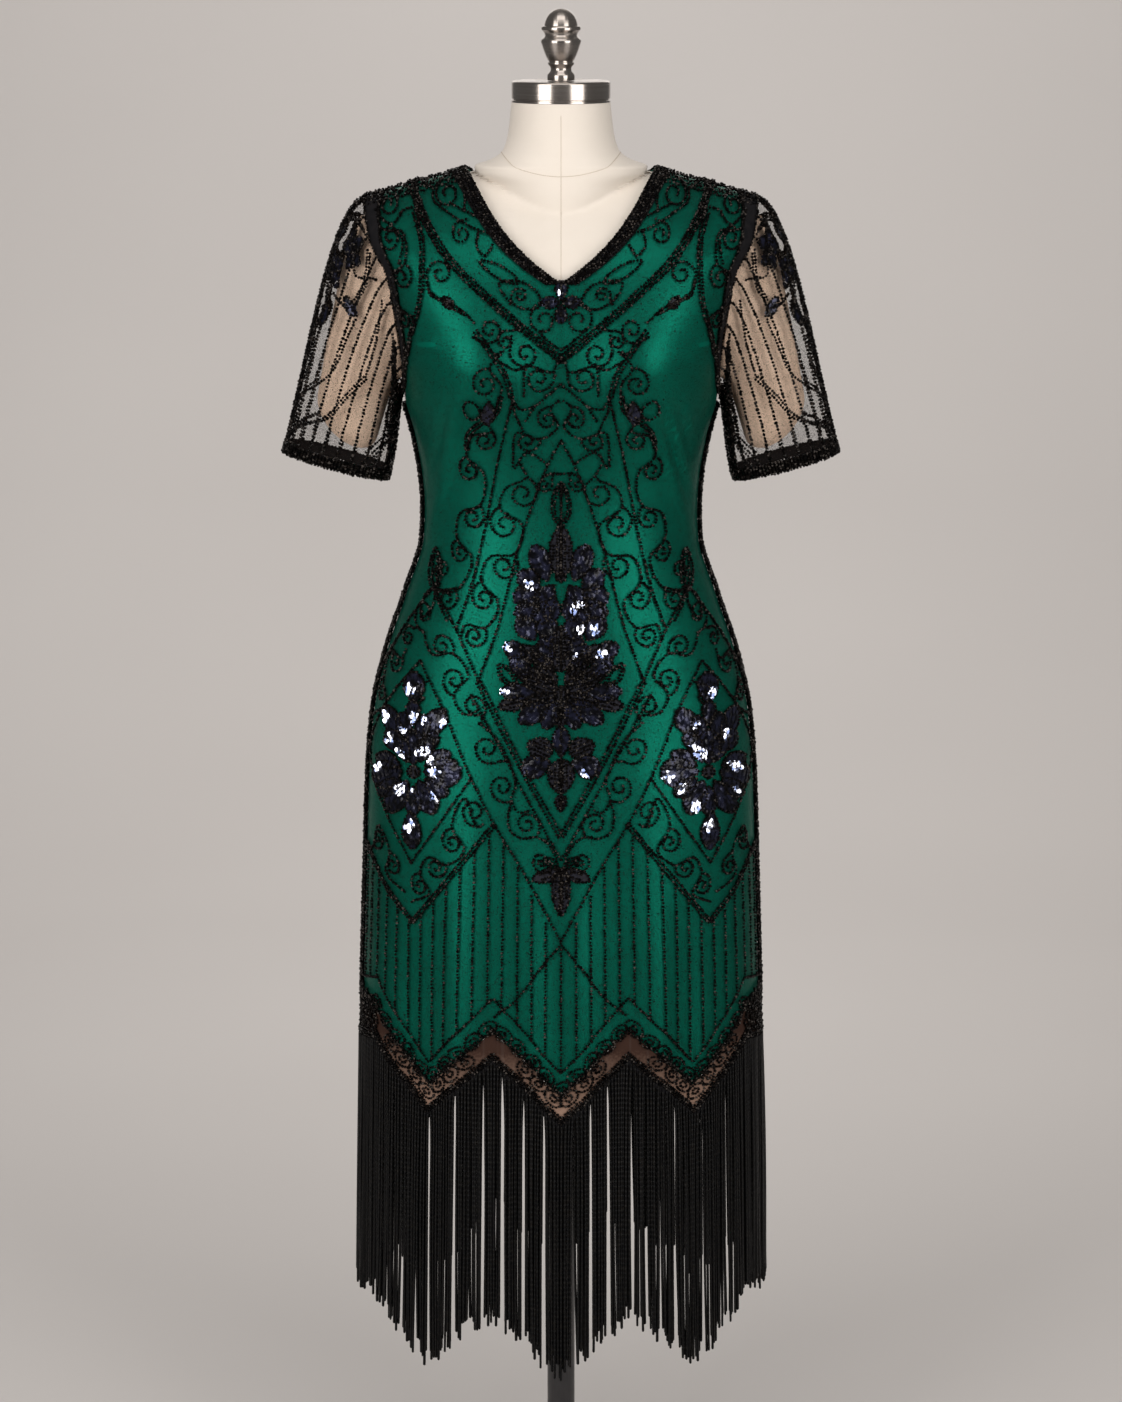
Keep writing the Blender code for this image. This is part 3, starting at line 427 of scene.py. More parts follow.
UPRIGHTS = 18.5  # upright bead lines in a quarter of the way round
UPRIGHT_TOPS = ((0, 949), (66, 828), (147, 926), (186, 856), (230, 830))
ZIGZAG_RISE_POINT = 0.024
ZIGZAG_RISE_NOTCH = 0.034
HEM_LOOP_STEP = 0.0200
HEM_LOOP = (0.0098, 0.0066)
HEM_LOOP_ABOVE = 0.0072
HEM_LOOP_BELOW = -0.0082
HEM_LOOP_BELOW_FROM = 0.30
SIDE_ROWS_U = (0.0004, 0.0030, 0.0060, 0.0090, 0.0120)
SIDE_WAVE = 0.0018
SHOULDER_ROWS = (0.0010, 0.0036, 0.0064, 0.0094)
SHOULDER_BUMP = 0.0016
CORNER_ROWS = 15  # wavy bead lines that fill the low corners beside each side seam
CORNER_START = 0.0135
CORNER_STEP = 0.0038
CORNER_WAVE = 0.0022
CORNER_REACH = (-0.022, 0.030)  # below and above the lining's edge
CORNER_SHORTER = 0.0014
SIDE_BEAD_RADIUS = 0.00215

# ---- Sleeve pattern: turn is the way round from the shoulder, share the way to the cuff, 0 to 1 ------------
SLEEVE_LINES = 22
SLEEVE_LINE_WAVE = 0.0010
SLEEVE_PITCH = 0.0036
SLEEVE_BEAD = 0.0020
SLEEVE_CURVES = (  # rows, places (turn, share)
    (2, ((0.015, 0.995), (0.09, 0.93), (0.175, 0.86), (0.23, 0.71), (0.27, 0.57))),
    (1, ((0.27, 0.57), (0.265, 0.36), (0.23, 0.17))),
    (1, ((0.0, 0.94), (0.05, 0.84), (0.115, 0.77), (0.155, 0.69), (0.17, 0.53), (0.175, 0.41))),
    (2, ((0.09, 0.44), (0.125, 0.43), (0.16, 0.31), (0.155, 0.19), (0.135, 0.07))),
    (1, ((0.06, 0.10), (0.10, 0.16), (0.13, 0.27), (0.185, 0.16))),
    (2, ((0.10, 0.04), (0.05, 0.12), (0.02, 0.26), (0.04, 0.40), (0.07, 0.52), (0.04, 0.62))),
    (1, ((0.02, 0.60), (0.06, 0.72), (0.03, 0.84), (0.05, 0.94))),
    (1, ((0.00, 0.55), (0.045, 0.66), (0.01, 0.78), (0.03, 0.90))),
    (1, ((0.33, 0.98), (0.37, 0.86), (0.41, 0.74), (0.39, 0.60))),
    (1, ((0.36, 0.99), (0.40, 0.84), (0.43, 0.66))),
)
SLEEVE_CURVE_GAP = 0.009
SLEEVE_INNER_EDGE = ((0.31, 0.12), (0.355, 0.28), (0.392, 0.47), (0.418, 0.74), (0.432, 1.0))  # (turn, share)
SLEEVE_INNER_ROWS = 5
SLEEVE_INNER_GAP = 0.0085
SLEEVE_LEAVES = (  # turn, share, angle, length, width
    (0.095, 0.20, 20, 20, 12),
    (0.095, 0.20, 95, 17, 11),
    (0.095, 0.20, 165, 17, 11),
    (0.095, 0.20, 235, 18, 12),
    (0.095, 0.20, 305, 18, 11),
    (0.055, 0.37, 35, 17, 11),
    (0.055, 0.37, 120, 18, 12),
    (0.055, 0.37, 210, 18, 11),
    (0.055, 0.37, 300, 16, 10),
    (0.125, 0.40, 100, 20, 12),
    (0.080, 0.50, 190, 20, 12),
    (0.035, 0.20, 200, 18, 11),
)
CUFF_BEAD_ROWS = (0.10, 0.28, 0.46, 0.64, 0.82, 1.0)  # shares of the way down the cuff band
SLEEVE_SEAM_TURNS = (0.445, 0.456, 0.467, 0.478, 0.489, 0.50, 0.511, 0.522, 0.533, 0.544, 0.555)
SLEEVE_TOP_TURNS = (-0.016, -0.008, 0.0, 0.008, 0.016)

# ---- Fringe ----------------------------------------------------------------------------------------------
STRANDS = 156  # in each of two layers, on the front and on the back
STRAND_RADIUS = 0.00140
STRAND_RINGS = 14
STRAND_CORNERS = 5
STRAND_END = (1.0, 1.0, 0.8, 0.0)
STRAND_END_LENGTH = 0.0022
TUFT_WIDTH = (0.011, 0.030)
TUFT_PULL = (0.10, 0.21)
TIP_STRAY = (-0.009, 0.014)
TUFTS_REACH = 0.24
STRAND_TOP = 0.005  # how far a strand starts above the header's lower edge
STRAND_OUT = (0.0016, -0.0006)  # of each layer, from the fringe band
STRAND_LAYERS = (0.25, 0.75)  # where each layer's strands stand in their pitch
STRAND_SWAY = 0.0007
STRAND_DRIFT = 0.0005
STRAND_STRAY = 0.0006
STRAND_SIZES = (0.86, 1.10)
SIDE_STRANDS = (0.150, 0.185)  # near the sides the tufts draw together less
SIDE_PULL = 0.25
HEADER_ROWS = (-HEADER_BELOW, -0.0035, -0.001, 0.0015, HEADER_ABOVE)
HEADER_SINK = 0.0002
HEADER_SHELL = 0.0008

SEED = 11
random = np.random.default_rng(SEED)


# ---- Numbers ---------------------------------------------------------------------------------------------
def mix(a, b, share):
    return a + (b - a) * share


def smooth_step(low, high, value):
    t = np.clip((value - low) / (high - low), 0.0, 1.0)
    return t * t * (3.0 - 2.0 * t)


def hermite(a, b, rise_a, rise_b, t):
    """A smooth curve from a to b. A rise is the slope at that end times the length of the span."""
    return (
        a * (1.0 + 2.0 * t) * (1.0 - t) ** 2
        + b * t * t * (3.0 - 2.0 * t)
        + rise_a * t * (1.0 - t) ** 2
        - rise_b * t * t * (1.0 - t)
    )


def lengths_along(path):
    """The length from the start of a path to each of its points."""
    return np.concatenate(([0.0], np.cumsum(np.linalg.norm(np.diff(path, axis=0), axis=1))))


def read_along(path, lengths, at):
    """Points of a path at these lengths from its start."""
    return np.column_stack([np.interp(at, lengths, path[:, k]) for k in range(path.shape[1])])


def unit(vectors):
    return vectors / np.maximum(np.linalg.norm(vectors, axis=-1, keepdims=True), 1e-12)


def table_value(table, column, at):
    """A column of a table at these heights, on a smooth curve through its rows."""
    heights = np.array([row[0] for row in table], dtype=float)
    values = np.array([row[column] for row in table], dtype=float)
    spans = np.diff(heights)
    steepness = np.diff(values) / spans
    slopes = np.empty(len(values))
    slopes[0] = steepness[0]
    slopes[-1] = steepness[-1]
    before, after = steepness[:-1], steepness[1:]
    turning = before * after <= 0.0
    slopes[1:-1] = np.where(turning, 0.0, 2.0 * before * after / np.where(turning, 1.0, before + after))
    at = np.clip(at, heights[0], heights[-1])
    index = np.clip(np.searchsorted(heights, at, side="right") - 1, 0, len(spans) - 1)
    t = (at - heights[index]) / spans[index]
    rises = (spans[index] * slopes[index], spans[index] * slopes[index + 1])
    return hermite(values[index], values[index + 1], *rises, t)


def section(name, height):
    """A measure of the dress's level section at a height."""
    return table_value(SECTIONS, SECTION_COLUMNS.index(name), height)


def zigzag(share):
    """1 at the low points of the hem and 0 at its notches, with a slight point at the side seams."""
    along = np.abs(share) * HEM_POINTS
    low = np.abs(1.0 - 2.0 * (along % 1.0))
    return np.where(along > HEM_POINTS - 0.5, low * SIDE_POINT, low)


def hem_height(share):
    """The height of the lining's lower edge."""
    return mix(LINING_NOTCH_Z, LINING_POINT_Z, zigzag(share))


def facing(side):
    return -1.0 if side == "front" else 1.0


# ---- The surface that every ply follows ------------------------------------------------------------------
def shoulder_height(x):
    return NECK_Z - CLOTH_DEPTH - SHOULDER_FALL * (np.abs(x) - NECK_X)


SHOULDER_TOP = float(shoulder_height(NECK_X))
UPPER_SPAN = SHOULDER_TOP - UNDERARM_Z
NECK_RISE = {side: 1.0 - NECK_DROP[side] / UPPER_SPAN for side in SIDES}  # where the neck's edge starts


def bust(x, z):
    """How far the bust stands out over the plain section."""
    across = (np.abs(x) - BUST_X) / BUST_HALF_WIDTH
    up = (z - BUST_Z) / BUST_HALF_HEIGHT
    return BUST_RISE * np.exp(-across * across - up * up)


def waves(side, x, z):
    """The soft waves of the skirt, which are in the solids too."""
    fall = np.clip((WAVE_TOP - z) / (WAVE_TOP - WAVE_FULL), 0.0, 1.0)
    edge = np.maximum(0.0, 1.0 - (np.abs(x) / section("half_width", z)) ** WAVE_EDGE)
    phase = 2.0 * math.pi * x / WAVE_LENGTH + (0.0 if side == "front" else math.pi)
    return WAVE_RISE * fall * edge * np.cos(phase)


def drape(side, x, z):
    """Creases over the plain surface, all fading out at the side seams."""
    edge = np.maximum(0.0, 1.0 - (np.abs(x) / section("half_width", z)) ** FOLD_EDGE)
    total = np.zeros(np.broadcast(x, z).shape)
    for fold_side, x1, z1, x2, z2, half_width, rise in FOLDS:
        if fold_side != side:
            continue
        length = math.hypot(x2 - x1, z2 - z1)
        along = ((x - x1) * (x2 - x1) + (z - z1) * (z2 - z1)) / length ** 2
        across = ((x - x1) * (z2 - z1) - (z - z1) * (x2 - x1)) / length
        inside = np.clip(along, 0.0, 1.0)
        past = (along - inside) * length
        ends = np.sin(math.pi * (0.08 + 0.84 * inside)) ** 0.8
        fade = -(across / half_width) ** 2 - (past / (FOLD_FADE * half_width)) ** 2
        total = total + FOLD_DEPTH * rise * ends * np.exp(fade)
    for ripple_side, ripple_x, top, half_width, rise in RIPPLES:
        if ripple_side != side:
            continue
        fall = smooth_step(top, RIPPLE_FULL, z)
        total = total + rise * fall * np.exp(-((x - ripple_x) / half_width) ** 2)
    return total * edge


def depth(side, x, z, ease=0.0, ease_up=0.0, draped=True):
    """How far the cloth stands in front of, or behind, the middle plane."""
    across = np.abs(x)
    half_width = section("half_width", z) - CLOTH_DEPTH - ease
    full = section(side, z) - CLOTH_DEPTH - ease
    power = section("squareness", z)
    flat = full * np.maximum(0.0, 1.0 - (across / half_width) ** power) ** (1.0 / power)
    if side == "front":
        flat = flat + bust(x, z) * np.minimum(1.0, BUST_FADE * flat / full)
    flat = flat + waves(side, x, z)
    if draped:
        flat = flat + drape(side, x, z)
    below = shoulder_height(np.maximum(across, NECK_X)) - ease_up - z
    arch = 1.0 - np.clip(below, 0.0, SHOULDER_ROUND) / SHOULDER_ROUND
    return flat * np.sqrt(1.0 - arch * arch)


def side_x(z):
    return section("half_width", z) - CLOTH_DEPTH


def armhole_x(z):
    return table_value(ARMHOLE, 1, z) - CLOTH_DEPTH


def neck_part(name, z):
    return table_value(NECK, NECK_COLUMNS.index(name), z)


def form_depth(side, x, z):
    """The form follows the inside of the dress, less its ease, and comes out of the neckline as its neck."""
    share = np.minimum(np.abs(x) / neck_part("half_width", z), 1.0)
    neck = neck_part("depth", z) * np.sqrt(1.0 - share * share)
    return np.maximum(depth(side, x, z, FORM_EASE, FORM_EASE_UP, False), neck)


def path_row(side, start, end, shares, deep=depth):
    """Points at these shares of the length of a straight row, as seen from the front, laid on a surface."""
    steps = np.sin(0.5 * math.pi * np.linspace(0.0, 1.0, 121))
    x = mix(start[0], end[0], steps)
    z = mix(start[1], end[1], steps)
    path = np.column_stack((x, facing(side) * deep(side, x, z), z))
    lengths = lengths_along(path)
    return read_along(path, lengths, shares * lengths[-1])


def grid_normals(points, flip):
    along = np.gradient(points, axis=1)
    up = np.gradient(points, axis=0)
    normals = unit(np.cross(along, up))
    return -normals if flip else normals


class Sheet:
    """A surface given by a grid of points and normals, read between its points at shares from 0 to 1."""

    def __init__(self, points, normals):
        self.points = points
        self.normals = normals

    def at(self, column_share, row_share, out=0.0):
        rows, columns = self.points.shape[:2]
        row = np.clip(np.asarray(row_share, dtype=float), 0.0, 1.0) * (rows - 1)
        column = np.clip(np.asarray(column_share, dtype=float), 0.0, 1.0) * (columns - 1)
        row, column = np.broadcast_arrays(row, column)
        r0 = np.minimum(row.astype(int), rows - 2)
        c0 = np.minimum(column.astype(int), columns - 2)
        fr = (row - r0)[..., None]
        fc = (column - c0)[..., None]

        def between(grid):
            low = grid[r0, c0] * (1.0 - fc) + grid[r0, c0 + 1] * fc
            high = grid[r0 + 1, c0] * (1.0 - fc) + grid[r0 + 1, c0 + 1] * fc
            return low * (1.0 - fr) + high * fr

        normal = unit(between(self.normals))
        return between(self.points) + normal * np.asarray(out)[..., None], normal


GRID_LOW = 0.230
GRID_HIGH = 1.4180
GRID_HEIGHTS = np.linspace(GRID_LOW, GRID_HIGH, 397)
HALF_SHARES = np.linspace(0.0, 1.0, 201)


def level_grid(side):
    """The whole side as level rows, with the length of each half of each row."""
    halves = []
    lengths = []
    for sign in (-1.0, 1.0):
        rows = []
        reach = []
        for z in GRID_HEIGHTS:
            row = path_row(side, (0.0, z), (sign * side_x(z), z), HALF_SHARES)
            rows.append(row)
            reach.append(np.linalg.norm(np.diff(row, axis=0), axis=1).sum())
        halves.append(np.array(rows))
        lengths.append(np.array(reach))
    points = np.concatenate((halves[0][:, :0:-1], halves[1]), axis=1)
    sheet = Sheet(points, grid_normals(points, side == "back"))
    sheet.lengths = lengths
    return sheet


CLOTH = {side: level_grid(side) for side in SIDES}


def cloth(side, share, z, out=0.0):
    """Points on a side of the dress, moved out, and the normals there."""
    row = (np.asarray(z, dtype=float) - GRID_LOW) / (GRID_HIGH - GRID_LOW)
    return CLOTH[side].at(0.5 + 0.5 * np.asarray(share, dtype=float), row, out)


def half_length(side, sign, z):
    """The length along the cloth from the middle to a side seam."""
    return np.interp(z, GRID_HEIGHTS, CLOTH[side].lengths[1 if sign > 0 else 0])


def share_of(side, u, z):
    """The share of the way to the side seam of a length along the cloth from the middle."""
    return np.clip(u / np.where(u < 0.0, half_length(side, -1.0, z), half_length(side, 1.0, z)), -1.0, 1.0)


def flat_places(places):
    """(u, z) on the front of the dress for places (out, down) in the front view."""
    out, down = np.asarray(places, dtype=float).T
    k = (VIEW_MIDDLE_ROW - down) * MM / CAMERA_DISTANCE
    y = np.full(len(out), -0.12)
    for _ in range(14):
        rise = (k * (CAMERA_DISTANCE + y * CAMERA_LEVEL) - y * CAMERA_DOWN) / (CAMERA_LEVEL + k * CAMERA_DOWN)
        away = CAMERA_DISTANCE + y * CAMERA_LEVEL - rise * CAMERA_DOWN
        z = TARGET_Z + rise
        x = np.minimum(out * MM * away / CAMERA_DISTANCE, 0.9995 * side_x(z))
        y = -depth("front", x, z) - CLOTH_DEPTH
    rows = np.round((z - GRID_LOW) / (GRID_HEIGHTS[1] - GRID_LOW)).astype(int)
    halves = CLOTH["front"].points[rows, len(HALF_SHARES) - 1:, 0]
    shares = np.array([np.interp(at, half, HALF_SHARES) for at, half in zip(x, halves)])
    return np.column_stack((shares * half_length("front", 1.0, z), z))


def flat_place(out_mm, down_mm):
    return flat_places([(out_mm, down_mm)])[0]


# ---- Curves of the pattern, laid flat --------------------------------------------------------------------
def smooth_curve(anchors, step=CURVE_STEP):
    """A dense smooth curve through its anchors."""
    anchors = np.asarray(anchors, dtype=float)
    if len(anchors) == 2:
        count = max(2, int(np.linalg.norm(anchors[1] - anchors[0]) / step))
        return mix(anchors[:1], anchors[1:], np.linspace(0.0, 1.0, count)[:, None])
    chords = np.linalg.norm(np.diff(anchors, axis=0), axis=1)
    at = np.concatenate(([0.0], np.cumsum(chords)))
    tangents = np.gradient(anchors, at, axis=0)
    dense = []
    for i, chord in enumerate(chords):
        t = np.linspace(0.0, 1.0, max(2, int(chord / step)), endpoint=False)[:, None]
        dense.append(hermite(anchors[i], anchors[i + 1], chord * tangents[i], chord * tangents[i + 1], t))
    dense.append(anchors[-1:])
    return np.concatenate(dense)


def beside(curve, offset):
    """The curve moved to its side."""
    run = unit(np.gradient(curve, axis=0))
    return curve + np.column_stack((-run[:, 1], run[:, 0])) * offset


def spiral(centre, start, radius, way):
    """A scroll that starts on the stem and winds in."""
    turns = np.linspace(0.0, SPIRAL[-1][0], 80)
    radii = radius * np.interp(turns, *zip(*SPIRAL))
    angles = math.atan2(start[1] - centre[1], start[0] - centre[0]) + way * 2.0 * math.pi * turns
    return centre + np.column_stack((np.cos(angles), np.sin(angles))) * radii[:, None]


def chain_curves(start, scrolls, end):
    """A waving stem and the scrolls that branch off it and wind in, one on each side in turn."""
    before = flat_place(*start)
    centres = [flat_place(out, down) for out, down, _, _ in scrolls]
    end = None if end is None else flat_place(*end)
    stem = [before]
    curves = []
    for i, (centre, (_, _, size, way)) in enumerate(zip(centres, scrolls)):
        radius = size * MM
        back = unit(before - centre)
        lean = math.radians(STEM_LEAN) * way
        back = np.array((
            back[0] * math.cos(lean) - back[1] * math.sin(lean),
            back[0] * math.sin(lean) + back[1] * math.cos(lean),
        ))
        branch = centre + back * radius * SPIRAL[0][1]
        curves.append(spiral(centre, branch, radius, way))
        stem.append(branch)
        onward = centres[i + 1] if i + 1 < len(centres) else end
        if onward is None:
            break
        run = unit(onward - before)
        stem.append(centre + np.array((-run[1], run[0])) * way * radius * STEM_REACH)
        before = stem[-1]
    if end is not None:
        stem.append(end)
    curves.append(smooth_curve(stem))
    return curves


def leaf_frame(turn):
    """The way along a leaf and the way across it."""
    angle = math.radians(turn)
    along = np.array((math.sin(angle), math.cos(angle)))
    return along, np.array((along[1], -along[0]))


def leaf_peak(filling):
    return PETAL_PEAK if filling == "sequins" else LEAF_PEAK


def leaf_half_width(t, width, peak=LEAF_PEAK):
    """Half the width of a leaf, whose widest place is nearer to the tip where peak is over 1."""
    return 0.5 * width * np.sin(math.pi * np.clip(t, 0.0, 1.0) ** peak) ** LEAF_BLUNTNESS


def leaf_outline(base, turn, length, width, peak=LEAF_PEAK):
    along, across = leaf_frame(turn)
    t = np.linspace(0.0, 1.0, 40)
    half = leaf_half_width(t, width, peak)
    right = base + along * (t * length)[:, None] + across * half[:, None]
    left = base + along * (t * length)[:, None] - across * half[:, None]
    return np.concatenate((right, left[::-1]))


def leaf_lines(base, turn, length, width, spacing):
    """Lines of beads that fill a leaf from its base to its tip."""
    along, across = leaf_frame(turn)
    t = np.linspace(0.04, 0.97, 40)
    half = leaf_half_width(t, width) - 0.9 * spacing
    count = max(1, int(round((width - 2.0 * spacing) / spacing)))
    lines = []
    for offset in np.linspace(-0.5, 0.5, count) * (width - 2.4 * spacing) if count > 1 else (0.0,):
        inside = np.abs(offset) <= half
        if inside.sum() > 2:
            lines.append(base + along * (t[inside] * length)[:, None] + across * offset)
    return lines


def leaf_sequins(base, turn, length, width):
    """Places and directions of the overlapping sequins that fill a petal, in mm."""
    along, across = leaf_frame(turn)
    step = SEQUIN_LENGTH / MM
    span = SEQUIN_WIDTH / MM
    places = []
    rows = max(2, int(round(length / (0.58 * step))))
    for row in range(rows):
        t = (row + 0.6) / (rows + 0.2)
        half = float(leaf_half_width(t, width, PETAL_PEAK))
        count = max(1, int(round(2.0 * half / (0.85 * span))))
        for k in range(count):
            offset = 0.0 if count == 1 else mix(-1.0, 1.0, k / (count - 1)) * max(0.0, half - 0.5 * span)
            spot = base + along * (t * length) + across * offset
            lean = offset / max(half, 1.0) * 0.45
            places.append((*spot, math.radians(turn) + lean))
    return places


def loose_and_painted_glint_ones(places, share):
    """Which of a petal's sequins hang loose and take the painted glint colour: a few side by side, in this
    share of the petals.
    """
    spots = np.array(places)[:, :2]
    if random.uniform() > share:
        return np.zeros(len(spots), dtype=bool)
    middle = spots[random.integers(len(spots))]
    return np.linalg.norm(spots - middle, axis=1) < LOOSE_REACH


def leaf_grid(base, turn, length, width, peak):
    """Rows of points that cover a leaf."""
    along, across = leaf_frame(turn)
    t = np.linspace(0.01, 0.99, LEAF_ROWS)
    half = leaf_half_width(t, width, peak)
    offsets = np.linspace(-1.0, 1.0, LEAF_COLUMNS)
    return base + along * (t * length)[:, None, None] + across * (half[:, None] * offsets)[..., None]


# ---- Beads and sequins -----------------------------------------------------------------------------------
def resample(points, pitch):
    """Points at an even pitch along a curve in space."""
    lengths = lengths_along(points)
    count = int(lengths[-1] / pitch)
    if count < 1:
        return points[:1]
    return read_along(points, lengths, (np.arange(count + 1) + 0.5 * (lengths[-1] / pitch - count)) * pitch)


BEAD_CORNERS = 6  # a bead is a cut one: a ring of corners and a point at each end
BEAD_RING = np.arange(BEAD_CORNERS)
BEAD_ANGLES = BEAD_RING * 2.0 * math.pi / BEAD_CORNERS
BEAD_POINTS = np.vstack((
    np.column_stack((np.cos(BEAD_ANGLES), np.sin(BEAD_ANGLES), np.zeros(BEAD_CORNERS))),
    ((0.0, 0.0, 1.0), (0.0, 0.0, -1.0)),
))
BEAD_NEXT = (BEAD_RING + 1) % BEAD_CORNERS
BEAD_FACES = np.vstack((
    np.column_stack((BEAD_RING, BEAD_NEXT, np.full(BEAD_CORNERS, BEAD_CORNERS))),
    np.column_stack((BEAD_NEXT, BEAD_RING, np.full(BEAD_CORNERS, BEAD_CORNERS + 1))),
))


def random_turns(count):
    """Random rotation matrices."""
    q = unit(random.normal(size=(count, 4)))
    w, x, y, z = q.T
    return np.stack((
        1 - 2 * (y * y + z * z), 2 * (x * y - z * w), 2 * (x * z + y * w),
        2 * (x * y + z * w), 1 - 2 * (x * x + z * z), 2 * (y * z - x * w),
        2 * (x * z - y * w), 2 * (y * z + x * w), 1 - 2 * (x * x + y * y),
    ), axis=-1).reshape(count, 3, 3)


def add_object(name, data):
    obj = bpy.data.objects.new(name, data)
    bpy.context.scene.collection.objects.link(obj)
    return obj


def mesh_object(name, vertices, faces, material, smooth=True, caps=()):
    """An object that rides on the body, from arrays of points and faces. Caps are faces of any size."""
    mesh = bpy.data.meshes.new(name)
    mesh.from_pydata(vertices.tolist(), [], faces.tolist() + list(caps))
    mesh.update()
    if smooth:
        mesh.shade_smooth()
    mesh.materials.append(material)
    obj = add_object(name, mesh)
    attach(obj, "root")
    return obj


def add_beads(name, runs):
    """Joined beads along curves in space. A run is (points, radius, pitch)."""
    centres = []
    radii = []
    for points, radius, pitch in runs:
        spots = resample(points, pitch)
        centres.append(spots + random.normal(scale=BEAD_STRAY, size=spots.shape))
        radii.append(radius * random.uniform(*BEAD_SIZES, len(spots)))
    centres = np.concatenate(centres)
    radii = np.concatenate(radii)
    turned = np.einsum("nij,kj->nki", random_turns(len(centres)), BEAD_POINTS)
    vertices = centres[:, None] + turned * radii[:, None, None]
    faces = BEAD_FACES[None] + (np.arange(len(centres)) * len(BEAD_POINTS))[:, None, None]
    obj = mesh_object(name, vertices.reshape(-1, 3), faces.reshape(-1, 3), beads, smooth=False)


def add_sequins(name, centres, normals, alongs, loose_and_painted_glint):
    """Joined oval sequins, each tipped a little its own way. The loose ones face out to one side and take a
    much lighter, silvery copy of the navy colour, a painted highlight.
    """
    count = len(centres)
    away = unit(normals * (0.0, 1.0, 0.0)) * LOOSE_NORMAL[1]
    sideways = np.sign(centres[:, :1]) * np.array((LOOSE_NORMAL[0], 0.0, 0.0))
    turned = away + sideways + np.array((0.0, 0.0, LOOSE_NORMAL[2]))
    normals = np.where(loose_and_painted_glint[:, None], turned, normals)
    normals = unit(normals + random.normal(scale=SEQUIN_TIP, size=(count, 3)))
    alongs = unit(alongs - normals * (alongs * normals).sum(axis=1, keepdims=True))
    across = np.cross(normals, alongs)
    corners = np.arange(SEQUIN_CORNERS)
    angles = corners * 2.0 * math.pi / SEQUIN_CORNERS
    rim = (
        alongs[:, None] * (np.cos(angles) * 0.5 * SEQUIN_LENGTH)[None, :, None]
        + across[:, None] * (np.sin(angles) * 0.5 * SEQUIN_WIDTH)[None, :, None]
    )
    middle = normals * SEQUIN_DOME
    vertices = centres[:, None] + np.concatenate((middle[:, None], rim), axis=1)
    following = (corners + 1) % SEQUIN_CORNERS
    fan = np.column_stack((np.zeros(SEQUIN_CORNERS, dtype=int), 1 + corners, 1 + following))
    faces = fan[None] + (np.arange(count) * (SEQUIN_CORNERS + 1))[:, None, None]
    obj = mesh_object(name, vertices.reshape(-1, 3), faces.reshape(-1, 3), sequin, smooth=False)
    # The loose sequins get the lighter material, a painted highlight.
    obj.data.materials.append(loose_sequin_painted_glint)
    obj.data.polygons.foreach_set("material_index", np.repeat(loose_and_painted_glint, len(fan)).astype(np.int32))


# ---- Materials -------------------------------------------------------------------------------------------
class Finish:
    """A material with a Principled shader and short helpers for its nodes."""

    def __init__(self, name, colour, roughness, metallic=0.0, specular=0.5):
        self.material = bpy.data.materials.new(name)
        self.material.use_nodes = True
        self.tree = self.material.node_tree
        self.shader = self.tree.nodes["Principled BSDF"]
        self.set("Base Color", (*colour, 1.0))
        self.set("Roughness", roughness)
        self.set("Metallic", metallic)
        self.set("Specular IOR Level", specular)
        self.coordinates = self.node("ShaderNodeTexCoord").outputs["Object"]
        self.material.diffuse_color = (*colour, 1.0)

    def set(self, socket, value):
        self.shader.inputs[socket].default_value = value

    def node(self, kind, **values):
        made = self.tree.nodes.new(kind)
        for key, value in values.items():
            setattr(made, key, value)
        return made

    def link(self, out, to):
        self.tree.links.new(out, to)

    def stretched(self, scale):
        mapping = self.node("ShaderNodeMapping")
        mapping.inputs["Scale"].default_value = scale
        self.link(self.coordinates, mapping.inputs["Vector"])
        return mapping.outputs["Vector"]

    def noise(self, scale, detail=2.0, stretch=None):
        made = self.node("ShaderNodeTexNoise")
        made.inputs["Scale"].default_value = scale
        made.inputs["Detail"].default_value = detail
        self.link(self.stretched(stretch) if stretch else self.coordinates, made.inputs["Vector"])
        return made.outputs["Fac"]

    def wave(self, scale, direction, distortion=0.0):
        made = self.node("ShaderNodeTexWave", bands_direction=direction)
        made.inputs["Scale"].default_value = scale
        made.inputs["Distortion"].default_value = distortion
        self.link(self.coordinates, made.inputs["Vector"])
        return made.outputs["Fac"]

    def spread(self, value, low, high, start=0.0, end=1.0):
        """A value from start to end taken to a range."""
        made = self.node("ShaderNodeMapRange")
        made.inputs["From Min"].default_value = start
        made.inputs["From Max"].default_value = end
        made.inputs["To Min"].default_value = low
        made.inputs["To Max"].default_value = high
        self.link(value, made.inputs["Value"])
        return made.outputs["Result"]

    def combine(self, kind, a, b):
        made = self.node("ShaderNodeMath", operation=kind)
        for socket, value in zip(made.inputs, (a, b)):
            if isinstance(value, (int, float)):
                socket.default_value = value
            else:
                self.link(value, socket)
        return made.outputs["Value"]

    def colours(self, value, low, high, start=0.3, end=0.7):
        ramp = self.node("ShaderNodeValToRGB")
        ramp.color_ramp.elements[0].position = start
        ramp.color_ramp.elements[0].color = (*low, 1.0)
        ramp.color_ramp.elements[1].position = end
        ramp.color_ramp.elements[1].color = (*high, 1.0)
        self.link(value, ramp.inputs["Fac"])
        self.link(ramp.outputs["Color"], self.shader.inputs["Base Color"])

    def rough(self, value, low, high):
        self.link(self.spread(value, low, high), self.shader.inputs["Roughness"])

    def bump(self, value, strength, distance):
        made = self.node("ShaderNodeBump")
        made.inputs["Strength"].default_value = strength
        made.inputs["Distance"].default_value = distance
        self.link(value, made.inputs["Height"])
        last = self.shader.inputs["Normal"]
        if last.is_linked:
            self.link(last.links[0].from_socket, made.inputs["Normal"])
        self.link(made.outputs["Normal"], last)


